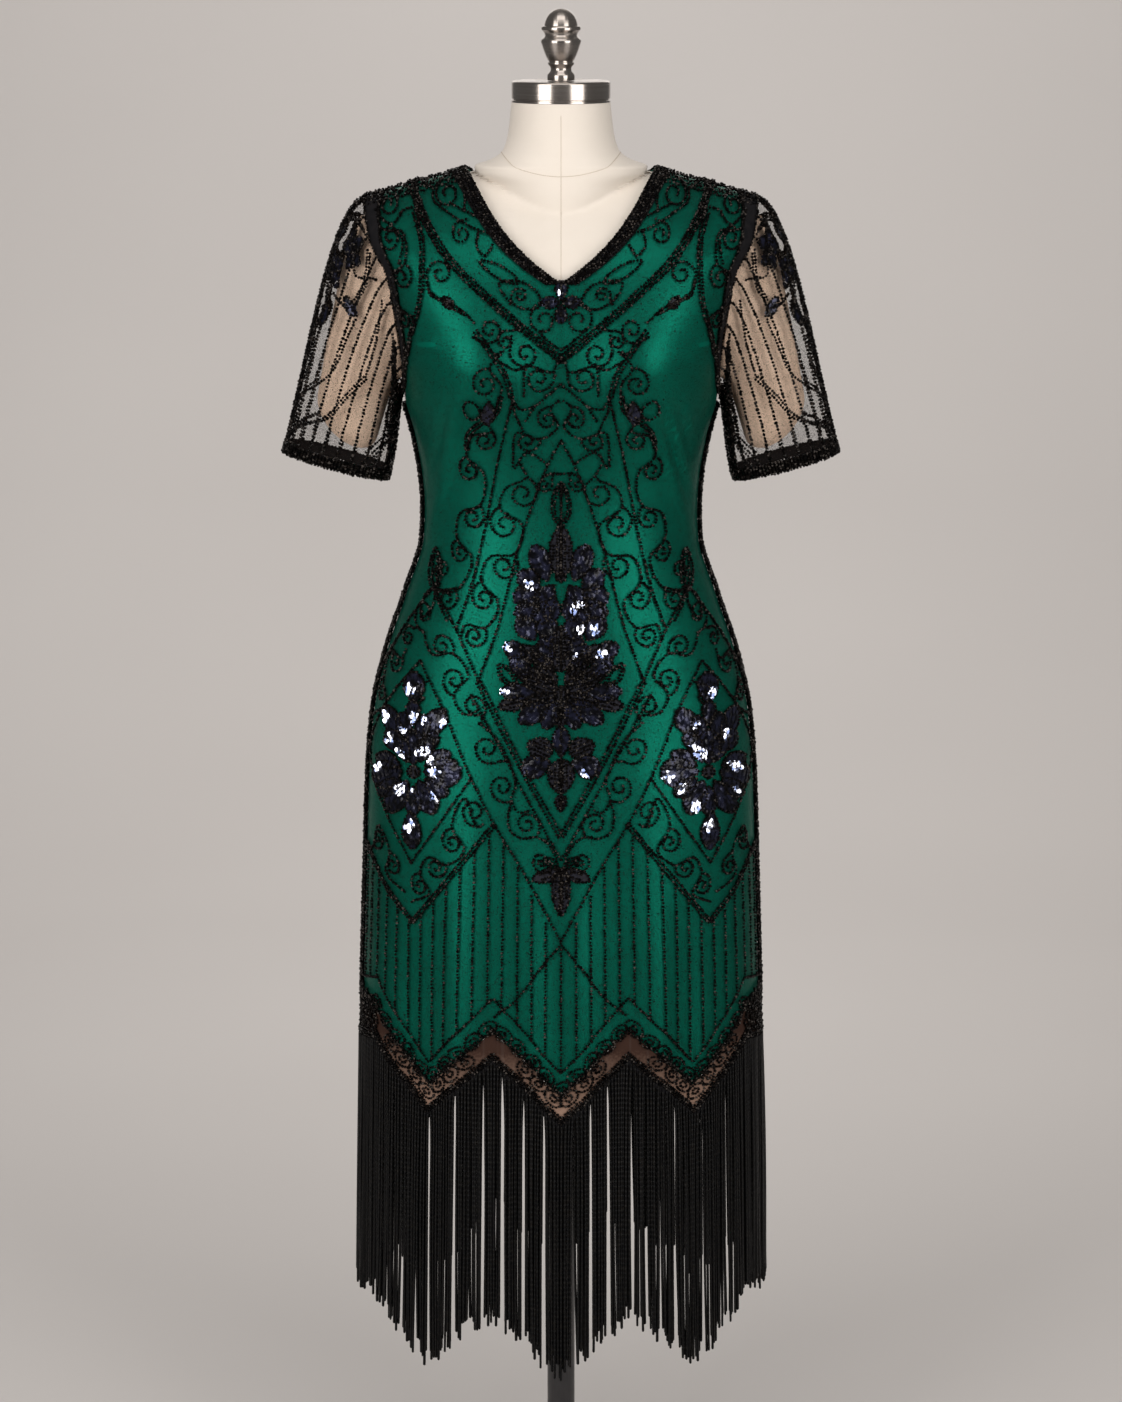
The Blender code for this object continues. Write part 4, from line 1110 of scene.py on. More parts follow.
def make_satin():
    finish = Finish("emerald_satin", (0.0006, 0.136, 0.089), 0.38, metallic=0.55, specular=0.04)
    finish.colours(finish.noise(7.0, 3.0), (0.0005, 0.124, 0.081), (0.0008, 0.148, 0.097))
    finish.rough(finish.noise(60.0, 2.0, stretch=(1.0, 1.0, 0.35)), 0.33, 0.42)
    finish.bump(finish.noise(34.0, 3.0, stretch=(1.0, 1.0, 0.5)), 0.30, 0.0012)
    finish.bump(finish.noise(900.0, 1.0, stretch=(1.0, 1.0, 0.2)), 0.25, 0.00012)
    return finish.material


NET_CELLS = 760.0  # scale of the net's cells
THREAD_ALPHA = 0.95


def net_alpha(finish, thin, thick, veil):
    """Fine black threads over a thin veil, which stands for the threads too fine to draw."""
    cells = finish.node("ShaderNodeTexVoronoi", feature="DISTANCE_TO_EDGE")
    cells.inputs["Scale"].default_value = NET_CELLS
    finish.link(finish.coordinates, cells.inputs["Vector"])
    thread_alpha = finish.spread(cells.outputs["Distance"], THREAD_ALPHA, veil, thin, thick)
    finish.link(thread_alpha, finish.shader.inputs["Alpha"])
    finish.material.surface_render_method = "BLENDED"


def make_net():
    finish = Finish("black_net", (0.006, 0.006, 0.006), 0.9, specular=0.05)
    net_alpha(finish, 0.030, 0.060, 0.0)
    return finish.material


def make_sleeve_net():
    finish = Finish("black_sleeve_net", (0.012, 0.009, 0.008), 0.9, specular=0.05)
    net_alpha(finish, 0.030, 0.055, 0.06)
    return finish.material


def make_nude_net():
    """The sheer strip below the lining. Its colour is painted darker towards the notches: painted shade
    standing for the dark fringe and the shade inside the dress seen through it there.
    """
    finish = Finish("nude_net", (0.36, 0.22, 0.16), 0.85, specular=0.1)
    height = finish.node("ShaderNodeSeparateXYZ")
    finish.link(finish.coordinates, height.inputs["Vector"])
    # Painted shade: the colour darkens with height towards the notches, for the fringe and the shadow seen
    # through the net.
    painted_notch_shade = finish.spread(height.outputs["Z"], 0.0, 1.0, LINING_POINT_Z - NET_BELOW_LINING, LINING_NOTCH_Z)
    grain = finish.combine("MULTIPLY", finish.noise(420.0, 2.0), 0.25)
    painted_shade_with_grain = finish.combine("ADD", painted_notch_shade, grain)
    finish.colours(painted_shade_with_grain, (0.33, 0.21, 0.155), (0.035, 0.017, 0.012), 0.05, 0.90)
    finish.set("Alpha", 0.985)
    finish.material.surface_render_method = "BLENDED"
    finish.bump(finish.noise(NET_CELLS, 1.0), 0.25, 0.0002)
    return finish.material


def make_beads():
    finish = Finish("black_glass_beads", (0.002, 0.002, 0.002), 0.12, specular=0.15)
    finish.colours(finish.noise(420.0, 1.0), (0.0010, 0.0010, 0.0012), (0.007, 0.005, 0.004), 0.52, 0.80)
    finish.rough(finish.noise(260.0, 1.0), 0.06, 0.22)
    finish.set("Specular Tint", (1.0, 0.86, 0.76, 1.0))
    return finish.material


def make_sequin():
    finish = Finish("navy_sequins", (0.006, 0.006, 0.012), 0.20, metallic=0.60, specular=0.30)
    finish.colours(finish.noise(150.0, 1.0), (0.0025, 0.0025, 0.0045), (0.016, 0.018, 0.040), 0.42, 0.66)
    finish.rough(finish.noise(180.0, 1.0), 0.14, 0.30)
    finish.set("Coat Weight", 0.12)
    finish.set("Coat Roughness", 0.10)
    return finish.material


def make_loose_sequin_painted_glint():
    # Painted highlight: a much lighter, silvery copy of the navy sequin colour, for the tipped sequins that
    # catch the lamps; their tilt is real.
    finish = Finish("loose_sequins_painted_glint", (0.40, 0.42, 0.54), 0.12, metallic=1.0)
    finish.colours(finish.noise(160.0, 1.0), (0.10, 0.13, 0.24), (0.66, 0.68, 0.78), 0.40, 0.56)
    finish.rough(finish.noise(180.0, 1.0), 0.08, 0.20)
    return finish.material


def make_sequin_ground():
    finish = Finish("sequin_ground", (0.004, 0.004, 0.007), 0.45, specular=0.2)
    finish.colours(finish.noise(300.0, 1.0), (0.002, 0.002, 0.004), (0.010, 0.010, 0.018))
    finish.bump(finish.noise(500.0, 1.0), 0.6, 0.0004)
    return finish.material


def make_ribbon():
    finish = Finish("black_ribbon", (0.005, 0.005, 0.006), 0.72, specular=0.12)
    finish.colours(finish.noise(140.0, 2.0), (0.003, 0.003, 0.004), (0.008, 0.007, 0.008))
    finish.rough(finish.noise(90.0), 0.62, 0.82)
    finish.bump(finish.wave(430.0, "DIAGONAL", 1.0), 0.35, 0.00015)
    return finish.material


def make_thread():
    finish = Finish("fringe_beads", (0.002, 0.002, 0.0025), 0.32, specular=0.14)
    finish.bump(finish.wave(62.0, "Z"), 0.7, 0.0005)
    finish.colours(finish.noise(260.0, 1.0), (0.0012, 0.0012, 0.0015), (0.006, 0.005, 0.004), 0.45, 0.8)
    finish.rough(finish.noise(330.0, 1.0), 0.20, 0.55)
    return finish.material


def make_linen():
    finish = Finish("cream_linen", (0.78, 0.70, 0.60), 0.86)
    finish.colours(finish.noise(22.0, 3.0), (0.665, 0.602, 0.532), (0.695, 0.632, 0.562))
    weave = finish.combine("ADD", finish.wave(300.0, "Z", 1.6), finish.wave(300.0, "X", 1.6))
    finish.bump(weave, 0.22, 0.00025)
    finish.bump(finish.noise(420.0, 2.0), 0.20, 0.0003)
    finish.rough(finish.noise(60.0), 0.80, 0.92)
    finish.set("Sheen Weight", 0.12)
    return finish.material


def make_arm_cover():
    finish = Finish("nude_arm_cover", (0.73, 0.53, 0.40), 0.80)
    finish.colours(finish.noise(26.0, 3.0), (0.855, 0.615, 0.455), (0.895, 0.665, 0.505))
    finish.bump(finish.noise(520.0, 2.0), 0.20, 0.0003)
    finish.rough(finish.noise(60.0), 0.74, 0.88)
    return finish.material


def make_seam():
    finish = Finish("linen_seam", (0.50, 0.43, 0.35), 0.9)
    finish.colours(finish.wave(500.0, "DIAGONAL"), (0.42, 0.35, 0.28), (0.60, 0.52, 0.43))
    return finish.material


def make_nickel():
    finish = Finish("brushed_nickel", (0.60, 0.57, 0.54), 0.26, metallic=1.0)
    streaks = finish.noise(55.0, 4.0, stretch=(0.06, 0.06, 12.0))
    finish.rough(streaks, 0.22, 0.30)
    finish.colours(streaks, (0.37, 0.33, 0.30), (0.43, 0.39, 0.36))
    round_axis = finish.node("ShaderNodeTangent", direction_type="RADIAL", axis="Z")
    finish.link(round_axis.outputs["Tangent"], finish.shader.inputs["Tangent"])
    finish.set("Anisotropic", 0.80)
    finish.set("Anisotropic Rotation", 0.25)
    finish.bump(streaks, 0.03, 0.0001)
    return finish.material


def make_black_steel():
    finish = Finish("black_steel", (0.016, 0.015, 0.016), 0.34, specular=0.5)
    finish.colours(finish.noise(40.0, 3.0), (0.012, 0.011, 0.012), (0.024, 0.022, 0.023))
    finish.rough(finish.noise(120.0, 3.0), 0.26, 0.44)
    finish.bump(finish.noise(700.0, 2.0), 0.12, 0.0002)
    return finish.material


satin = make_satin()
net = make_net()
sleeve_net = make_sleeve_net()
nude_net = make_nude_net()
beads = make_beads()
sequin = make_sequin()
loose_sequin_painted_glint = make_loose_sequin_painted_glint()
sequin_ground = make_sequin_ground()
ribbon = make_ribbon()
thread = make_thread()
linen = make_linen()
arm_cover = make_arm_cover()
seam = make_seam()
nickel = make_nickel()
black_steel = make_black_steel()


# ---- Panels ----------------------------------------------------------------------------------------------
def neck_share(side, z):
    """How far out the neck's edge is at this height, as a share of its width at the shoulder."""
    rise = max(0.0, 1.0 - (SHOULDER_TOP - z) / NECK_DROP[side])
    return rise + NECK_BOW * rise * (1.0 - rise) ** 1.5


def upper_ends(side, rise):
    """Where a row of the upper panel starts, at the middle or the neck's edge, and ends, at the armhole."""
    start_z = mix(UNDERARM_Z, SHOULDER_TOP, rise)
    tip_z = float(shoulder_height(armhole_x(TIP_Z)))
    end_z = mix(UNDERARM_Z, tip_z, rise)
    end_x = float(side_x(UNDERARM_Z)) if rise <= 0.0 else float(armhole_x(end_z))
    return (NECK_X * neck_share(side, start_z), start_z), (end_x, end_z)


def upper_row(side, sign, rise, shares):
    """Points on a row of the upper panel, at these shares of its length."""
    start, end = upper_ends(side, float(rise))
    return path_row(side, (sign * start[0], start[1]), (sign * end[0], end[1]), shares)


def is_flipped(side, sign):
    """Whether a grid that runs outwards and up on this half has to be turned over to face out."""
    return (side == "back") != (sign < 0)


LINING_COLUMNS = 46
LINING_SPACING = 0.0072
LINING_SHELL = 0.0006  # thickness of the visual lining
NET_COLUMNS = 60
NET_SPACING = 0.0085
BAND_ROWS = 5  # rows of the net below the lining's edge
HEM_STRETCH = 0.095  # length of cloth between the hem and the first level row
NECK_STRETCH = 0.12  # length of cloth beside the neck


def panel_grid(side, sign, columns, spacing, hem_drop):
    """Rows of points of half a panel from the hem up, and which of its rows start at the neck's edge."""
    shares = np.linspace(0.0, 1.0, columns + 1)
    rows = []
    opened = []
    hem = hem_height(shares)
    band = [hem - hem_drop * (1.0 - k / BAND_ROWS) for k in range(BAND_ROWS)] if hem_drop else []
    steps = np.linspace(0.0, 1.0, int(HEM_STRETCH / spacing), endpoint=False)
    for z in band + [mix(hem, HEM_LEVEL_Z, t) for t in steps]:
        rows.append(cloth(side, sign * shares, z)[0])
        opened.append(False)
    for z in np.linspace(HEM_LEVEL_Z, UNDERARM_Z, int((UNDERARM_Z - HEM_LEVEL_Z) / spacing), endpoint=False):
        rows.append(path_row(side, (0.0, z), (sign * side_x(z), z), shares))
        opened.append(False)
    neck_rise = NECK_RISE[side]
    below = np.linspace(0.0, neck_rise, int(neck_rise * UPPER_SPAN / spacing), endpoint=False)
    above = mix(neck_rise, 1.0, np.sin(0.5 * math.pi * np.linspace(0.0, 1.0, int(NECK_STRETCH / spacing))))
    for rise in np.concatenate((below, above)):
        rows.append(upper_row(side, sign, rise, shares))
        opened.append(rise >= neck_rise)
    return np.array(rows), opened


def quads(rows, columns, flip):
    """Corner numbers of a grid's faces."""
    start = (np.arange(rows - 1)[:, None] * columns + np.arange(columns - 1)[None, :]).reshape(-1)
    faces = np.column_stack((start, start + 1, start + columns + 1, start + columns))
    return faces[:, ::-1] if flip else faces


def weld(obj, distance=2e-6):
    """Joins points that lie closer than this, such as those of a seam."""
    bm = bmesh.new()
    bm.from_mesh(obj.data)
    bmesh.ops.remove_doubles(bm, verts=bm.verts, dist=distance)
    bm.to_mesh(obj.data)
    bm.free()


def add_wall(obj, thickness):
    """Gives a shell its cloth's thickness, inwards."""
    solid = obj.modifiers.new("Thickness", "SOLIDIFY")
    solid.thickness = thickness
    solid.offset = -1.0


def make_panel(name, side, material, out, columns, spacing, hem_drop):
    """A panel of two halves, joined down the middle up to the neck's edge."""
    flips = [is_flipped(side, sign) for _, sign in HALVES]
    grids, opened = zip(*(panel_grid(side, sign, columns, spacing, hem_drop) for _, sign in HALVES))
    normals = [grid_normals(grid, flip) for grid, flip in zip(grids, flips)]
    for row, is_open in enumerate(opened[0]):
        if not is_open:
            shared = unit(normals[0][row, 0] + normals[1][row, 0])
            for normal in normals:
                normal[row, 0] = shared
    rows, count = grids[0].shape[:2]
    vertices = [(grid + normal * out).reshape(-1, 3) for grid, normal in zip(grids, normals)]
    faces = [quads(rows, count, flip) + half * rows * count for half, flip in enumerate(flips)]
    obj = mesh_object(name, np.concatenate(vertices), np.concatenate(faces), material)
    weld(obj)
    return obj


def hem_faces(obj):
    """Gives the faces below the lining's edge the second material."""
    per_half = len(obj.data.polygons) // 2
    for polygon in obj.data.polygons:
        if polygon.index % per_half < BAND_ROWS * NET_COLUMNS:
            polygon.material_index = 1


linings = {}
nets = {}
for side in SIDES:
    linings[side] = make_panel(
        f"satin_lining_{side}", side, satin, LINING_WALL, LINING_COLUMNS, LINING_SPACING, 0.0
    )
    add_wall(linings[side], LINING_SHELL)
    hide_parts(f"lining_{side}")
    middle = NET_OUT + 0.5 * NET_WALL
    nets[side] = make_panel(
        f"net_overlay_{side}", side, net, middle, NET_COLUMNS, NET_SPACING, NET_BELOW_LINING
    )
    nets[side].data.materials.append(nude_net)
    hem_faces(nets[side])
    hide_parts(f"net_{side}")


# ---- Neck band and armhole bands -------------------------------------------------------------------------
NECK_BAND_COLUMNS = 6
NECK_BAND_ROWS = 44
NECK_BEAD_LINES = (0.4, 1.4, 2.4, 3.4, 4.5)  # where bead lines run between the band's columns
NECK_BEAD_RADIUS = 0.00165
NECK_BEAD_PITCH = 0.0031
NECK_BEAD_OUT = BAND_OUT + 0.0012
NECK_SHELL = 0.0006
ARM_SHELL = 0.0008
ARM_BAND_COLUMNS = 5
ARM_BEAD_OUT = BAND_OUT + 0.0006


def neck_strip(side, sign):
    """Rows of points across the neck band, from its neck edge to its outer edge, from its point up."""
    across = np.linspace(0.0, 1.0, NECK_BAND_COLUMNS) * NECK_BAND_STEP[side]
    rows = []
    for t in np.linspace(0.0, 1.0, NECK_BAND_ROWS):
        rise = mix(NECK_RISE[side], 1.0, math.sin(0.5 * math.pi * t))
        path = upper_row(side, sign, rise, np.linspace(0.0, 1.0, 81))
        rows.append(read_along(path, lengths_along(path), across))
    return np.array(rows)


def strip_object(name, grid, flip, thickness):
    """A ribbon of this thickness that lies on the overlay."""
    points = grid + grid_normals(grid, flip) * (BAND_OUT + thickness)
    rows, count = grid.shape[:2]
    obj = mesh_object(name, points.reshape(-1, 3), quads(rows, count, flip), ribbon)
    add_wall(obj, thickness)
    return obj


def join(objects, name):
    """One object of several, with the first one's modifiers."""
    bpy.ops.object.select_all(action="DESELECT")
    for obj in objects:
        obj.select_set(True)
    bpy.context.view_layer.objects.active = objects[0]
    bpy.ops.object.join()
    objects[0].name = name
    return objects[0]


def armhole_strip(side, sign, count):
    """Rows across the armhole band, from its inner line to the armhole's edge, from the underarm up."""
    rows = []
    for rise in np.linspace(0.0, 1.0, count):
        width = mix(ARM_BAND_LOW, ARM_BAND_TOP, rise)
        path = upper_row(side, sign, rise, np.linspace(0.0, 1.0, 161))
        lengths = lengths_along(path)
        rows.append(read_along(path, lengths, lengths[-1] - width * np.linspace(1.0, 0.0, ARM_BAND_COLUMNS)))
    return np.array(rows)


trim_runs = {side: [] for side in SIDES}
for side in SIDES:
    halves = []
    for _, sign in HALVES:
        grid = neck_strip(side, sign)
        flip = is_flipped(side, sign)
        halves.append(strip_object(f"neck_part_{side}_{sign:.0f}", grid, flip, NECK_SHELL))
        normals = grid_normals(grid, flip)
        for across in NECK_BEAD_LINES:
            low = int(across)
            t = across - low
            normal = mix(normals[:, low], normals[:, low + 1], t)
            line = mix(grid[:, low], grid[:, low + 1], t) + normal * NECK_BEAD_OUT
            trim_runs[side].append((line, NECK_BEAD_RADIUS, NECK_BEAD_PITCH))
    join(halves, f"neck_ribbon_{side}")
    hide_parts(f"neck_band_{side}")

for label, sign in HALVES:
    parts = []
    for side in SIDES:
        grid = armhole_strip(side, sign, 34)
        flip = is_flipped(side, sign)
        parts.append(strip_object(f"arm_part_{side}_{label}", grid, flip, ARM_SHELL))
        normals = grid_normals(grid, flip)
        for column in (0, -1):
            line = grid[:, column] + normals[:, column] * ARM_BEAD_OUT
            trim_runs[side].append((line, BEAD_RADIUS, BEAD_PITCH))
    join(parts, f"armhole_ribbon_{label}")
    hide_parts(f"armhole_band_{label}")


# ---- Sleeves ---------------------------------------------------------------------------------------------
def armhole_loop():
    """The armhole from the shoulder tip down the front and up the back, with outward normals."""
    points = []
    normals = []
    for side in SIDES:
        strip = armhole_strip(side, 1.0, 25)
        inner, edge = strip[:, 0], strip[:, -1]
        up = np.gradient(edge, axis=0)
        normal = unit(np.cross(edge - inner, up))
        normal = np.where(((normal * edge * (1.0, 1.0, 0.0)).sum(axis=1) < 0.0)[:, None], -normal, normal)
        edge[0, 1] = 0.0
        edge[-1, 1] = 0.0
        normal[0] = (1.0, 0.0, 0.0)
        normal[-1] = unit(np.array((SHOULDER_FALL, 0.0, 1.0)))
        if side == "front":
            points.append(edge[:0:-1])
            normals.append(normal[:0:-1])
        else:
            points.append(edge[:-1])
            normals.append(normal[:-1])
    return np.concatenate(points), np.concatenate(normals)


SLEEVE_COLUMNS = 97
SLEEVE_BODY_ROWS = 49
CUFF_ROWS = 3
SLEEVE_SMOOTHING = 3  # rounds of averaging round the sleeve's root


def sleeve_sheet():
    """The left sleeve as a grid: rows from the armhole to the end of the cuff, columns once round."""
    points, normals = armhole_loop()
    count = len(points)
    onward = np.roll(points, -1, axis=0) - np.roll(points, 1, axis=0)
    away = unit(np.cross(normals, onward))
    under = 0.5 - 0.5 * np.cos(2.0 * math.pi * np.arange(count) / count)
    gap = SLEEVE_SEAM + UNDERARM_CLEAR * under
    start = points + normals * NET_OUT + away * gap[:, None]
    closed = np.concatenate((start, start[:1]))
    lengths = lengths_along(closed)
    turns = np.linspace(0.0, 1.0, SLEEVE_COLUMNS)
    root = read_along(closed, lengths, turns * lengths[-1])
    leave_way = unit(read_along(np.concatenate((away, away[:1])), lengths, turns * lengths[-1]))
    for grid in (root, leave_way):
        for _ in range(SLEEVE_SMOOTHING):
            ring = grid[:-1]
            ring = 0.25 * np.roll(ring, 1, axis=0) + 0.5 * ring + 0.25 * np.roll(ring, -1, axis=0)
            grid[:-1] = ring
            grid[-1] = ring[0]
    angle = 2.0 * math.pi * turns
    topness = 0.5 + 0.5 * np.cos(angle)
    rim = CUFF_OUT * (np.cos(angle) * CUFF_RADIUS_X)[:, None]
    rim = rim - np.array((0.0, 1.0, 0.0)) * (np.sin(angle) * CUFF_RADIUS_Y)[:, None]
    end = CUFF_CENTRE - CUFF_AXIS * CUFF_BAND + rim
    leave = leave_way * mix(SLEEVE_LEAVE_LOW, SLEEVE_LEAVE_TOP, np.sqrt(topness))[:, None]
    leave = leave + np.array((SLEEVE_LEAVE_OUT, 0.0, 0.0)) * (1.0 - topness)[:, None]
    arrive = CUFF_AXIS * mix(SLEEVE_ARRIVE_LOW, SLEEVE_ARRIVE_TOP, topness)[:, None]
    body = [hermite(root, end, leave, arrive, t) for t in np.linspace(0.0, 1.0, SLEEVE_BODY_ROWS)]
    band = [end + CUFF_AXIS * (CUFF_BAND * row / CUFF_ROWS) for row in range(1, CUFF_ROWS + 1)]
    grid = np.array(body + band)
    normals = grid_normals(grid, False)
    seam_normal = unit(normals[:, :1] + normals[:, -1:])
    normals[:, :1] = seam_normal
    normals[:, -1:] = seam_normal
    return Sheet(grid, normals)


SLEEVE = sleeve_sheet()
SLEEVE_END = (SLEEVE_BODY_ROWS - 1) / (len(SLEEVE.points) - 1)
CUFF_SHELL = 0.0006


def mirrored(points, sign):
    return points * np.array((sign, 1.0, 1.0))


def sleeve_at(turn, share, out=0.0):
    """Points on the left sleeve, share 1 at the top of the cuff band."""
    return SLEEVE.at(np.asarray(turn) % 1.0, np.asarray(share) * SLEEVE_END, out)


def closed_piece(name, grid, sign, material):
    """A piece that runs once round, from the grid of the one on the left."""
    rows, count = grid.shape[:2]
    obj = mesh_object(name, mirrored(grid, sign).reshape(-1, 3), quads(rows, count, sign < 0), material)
    weld(obj)
    return obj


cuffs = {}
for label, sign in HALVES:
    grid = SLEEVE.points + SLEEVE.normals * (0.5 * NET_WALL)
    closed_piece(f"net_sleeve_{label}", grid, sign, sleeve_net)
    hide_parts(f"sleeve_{label}")
    band = (SLEEVE.points + SLEEVE.normals * (NET_WALL + PLY_GAP + CUFF_SHELL))[SLEEVE_BODY_ROWS - 1:]
    cuffs[label] = closed_piece(f"cuff_ribbon_{label}", band, sign, ribbon)
    add_wall(cuffs[label], CUFF_SHELL)
    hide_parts(f"cuff_{label}")


# ---- Bead pattern of the dress ---------------------------------------------------------------------------
PATTERN_LIFT_Z = 1.14  # above this height the back's pattern rises to its shallower neckline
ON_MIDDLE = 0.0006
WAIST_Z = 1.060
SKIRT_Z = 0.790
UPRIGHT_REACH_Z = 0.70
THIN_BEAD = 0.92 * BEAD_RADIUS
EDGE_SHARES = np.linspace(-1.0, 1.0, 801)
HEM_LINES = (  # above the lining's edge, out from the surface that every ply follows, bead radius
    (0.0075 - NET_BELOW_LINING, BEAD_OUT, BEAD_RADIUS),
    (0.0030, BEAD_OUT, 0.9 * BEAD_RADIUS),
    (0.0042 - NET_BELOW_LINING, BAND_OUT + BAND_WALL + 0.0004, BEAD_RADIUS),
    (0.0013 - NET_BELOW_LINING, BAND_OUT + BAND_WALL + 0.0004, BEAD_RADIUS),
)
HEM_LOOP_PITCH = 0.95 * BEAD_PITCH
HEM_LOOP_SCALES = (1.0, 0.40)  # of the outer and the inner ring
HEM_LOOP_TILT = (0.70, 0.35, 2.4)  # mean, swing and how fast it changes from ring to ring
SIDE_LOW_Z = 0.592
SIDE_WAVE_LENGTH = 0.0045
SIDE_BUMP = (-0.0006, 0.0016, 0.0034)  # start, height and length of the bumps in the side rows
CORNER_WAVE_LENGTH = 0.0030
CORNER_BUMP = (0.0012, 0.0026)  # height and length
SHOULDER_END = 0.004
SHOULDER_OUT = 0.0006
SHOULDER_UP = 0.0004
SHOULDER_BUMP_LENGTH = 0.0032


def back_height(u, z):
    """Where the pattern sits on the back, whose neckline is shallower."""
    lift = NECK_DROP["front"] - NECK_DROP["back"]
    near_neck = smooth_step(PATTERN_LIFT_Z, NECK_Z - NECK_DROP["front"], z)
    return z + lift * near_neck * np.clip(1.0 - np.abs(u) / NECK_X, 0.0, 1.0)


def placed(side, flat, sign, out):
    """Flat places on a side of the dress, and the normals there."""
    u = flat[..., 0] * sign
    z = flat[..., 1]
    if side == "back":
        z = back_height(u, z)
    return cloth(side, share_of(side, u, z), z, out)


def on_cloth(curve):
    """A curve of the front view, in mm out and up, laid flat on the cloth."""
    return flat_places(curve * (1.0, -1.0))


def in_view(out, down):
    return np.array((out, -down), dtype=float)


def pattern_curves():
    """Every curve of the pattern on one half of the front, laid flat."""
    curves = []
    for rows, spacing, anchors in LINES:
        curve = on_cloth(smooth_curve([in_view(*anchor) for anchor in anchors], 1.0))
        for row in range(rows):
            curves.append(beside(curve, (row - 0.5 * (rows - 1)) * spacing * MM))
    for start, scrolls, end in CHAINS:
        curves += chain_curves(start, scrolls, end)
    for out, down, turn, length, width, filling in LEAVES:
        base = in_view(out, down)
        curves.append(on_cloth(leaf_outline(base, turn, length, width, leaf_peak(filling))))
        if filling == "beads":
            lines = leaf_lines(base, turn, length, width, LEAF_LINE_SPACING)
            curves += [on_cloth(line) for line in lines]
        elif filling == "ring":
            inner = base + leaf_frame(turn)[0] * RING_BASE
            curves.append(on_cloth(leaf_outline(inner, turn, length - RING_SHORTER, width - RING_NARROWER)))
    return curves


def upright_curves():
    """The upright bead lines of the skirt, as shares of the way to the side seam."""
    tops = flat_places(UPRIGHT_TOPS)
    reach = half_length("front", 1.0, UPRIGHT_REACH_Z)
    shares = np.arange(int(UPRIGHTS) + 1) / UPRIGHTS
    heights = np.interp(shares * reach, tops[:, 0], tops[:, 1])
    return list(zip(shares, zigzag_height(shares), heights))


def zigzag_height(share):
    """The height of the bead line that ends the upright ones."""
    return hem_height(share) + mix(ZIGZAG_RISE_NOTCH, ZIGZAG_RISE_POINT, zigzag(share))


def hem_line(side, offset, out):
    """A line that follows the lining's zigzag all across a side, this far above it."""
    return cloth(side, EDGE_SHARES, hem_height(EDGE_SHARES) + offset, out)[0]


def hem_loops(side):
    """Oval rings of beads on both sides of the lining's edge, those below it only near the points."""
    lengths = lengths_along(hem_line(side, 0.0, 0.0))
    count = int(lengths[-1] / HEM_LOOP_STEP)
    mean, swing, pace = HEM_LOOP_TILT
    turn = np.linspace(0.0, 2.0 * math.pi, 28)
    runs = []
    for k in range(count):
        for place, lift in ((k + 0.5, HEM_LOOP_ABOVE), (k + 1.0, HEM_LOOP_BELOW)):
            share = float(np.interp(place * lengths[-1] / count, lengths, EDGE_SHARES))
            if lift < 0.0 and zigzag(share) < HEM_LOOP_BELOW_FROM:
                continue
            z = float(hem_height(share)) + lift
            reach = half_length(side, 1.0, z)
            rising = 1.0 if zigzag(share + 0.01) < zigzag(share) else -1.0
            tilt = rising * (mean + swing * math.sin(pace * k))
            for scale in HEM_LOOP_SCALES:
                u = HEM_LOOP[0] * scale * np.cos(turn)
                v = HEM_LOOP[1] * scale * np.sin(turn)
                flat_u = share * reach + u * math.cos(tilt) - v * math.sin(tilt)
                flat_z = z + u * math.sin(tilt) + v * math.cos(tilt)
                points = cloth(side, np.clip(flat_u / reach, -1.0, 1.0), flat_z, BEAD_OUT)[0]
                runs.append((points, THIN_BEAD, HEM_LOOP_PITCH))
    return runs


def side_band_runs(side):
    """Wavy bead lines down each side seam."""
    runs = []
    z = np.linspace(SIDE_LOW_Z, UNDERARM_Z - SEAM_BELOW_UNDERARM, 600)
    start, height, length = SIDE_BUMP
    for _, sign in HALVES:
        reach = half_length(side, sign, z)
        for k, offset in enumerate(SIDE_ROWS_U):
            wave = SIDE_WAVE * np.sin(z / SIDE_WAVE_LENGTH + 2.0 * k) * (1.0 if k > 0 else 0.0)
            share = sign * (1.0 - (offset + wave) / reach)
            rough = BEAD_OUT + start + height * np.abs(np.sin(z / length + k))
            runs.append((cloth(side, share, z, rough)[0], SIDE_BEAD_RADIUS, BEAD_PITCH))
    return runs


def corner_runs(side):
    """Wavy bead lines that fill the low corners of the overlay beside the side seams."""
    runs = []
    height, length = CORNER_BUMP
    for _, sign in HALVES:
        reach = half_length(side, sign, HEM_LEVEL_Z)
        for k in range(CORNER_ROWS):
            offset = CORNER_START + CORNER_STEP * k
            low = float(hem_height(1.0 - offset / reach))
            z = np.linspace(low + CORNER_REACH[0], low + CORNER_REACH[1] - CORNER_SHORTER * k, 80)
            wave = CORNER_WAVE * np.sin(z / CORNER_WAVE_LENGTH + 2.1 * k)
            share = sign * (1.0 - (offset + wave) / reach)
            rough = BEAD_OUT + height * np.abs(np.sin(z / length + k))
            runs.append((cloth(side, share, z, rough)[0], BEAD_RADIUS, BEAD_PITCH))
    return runs


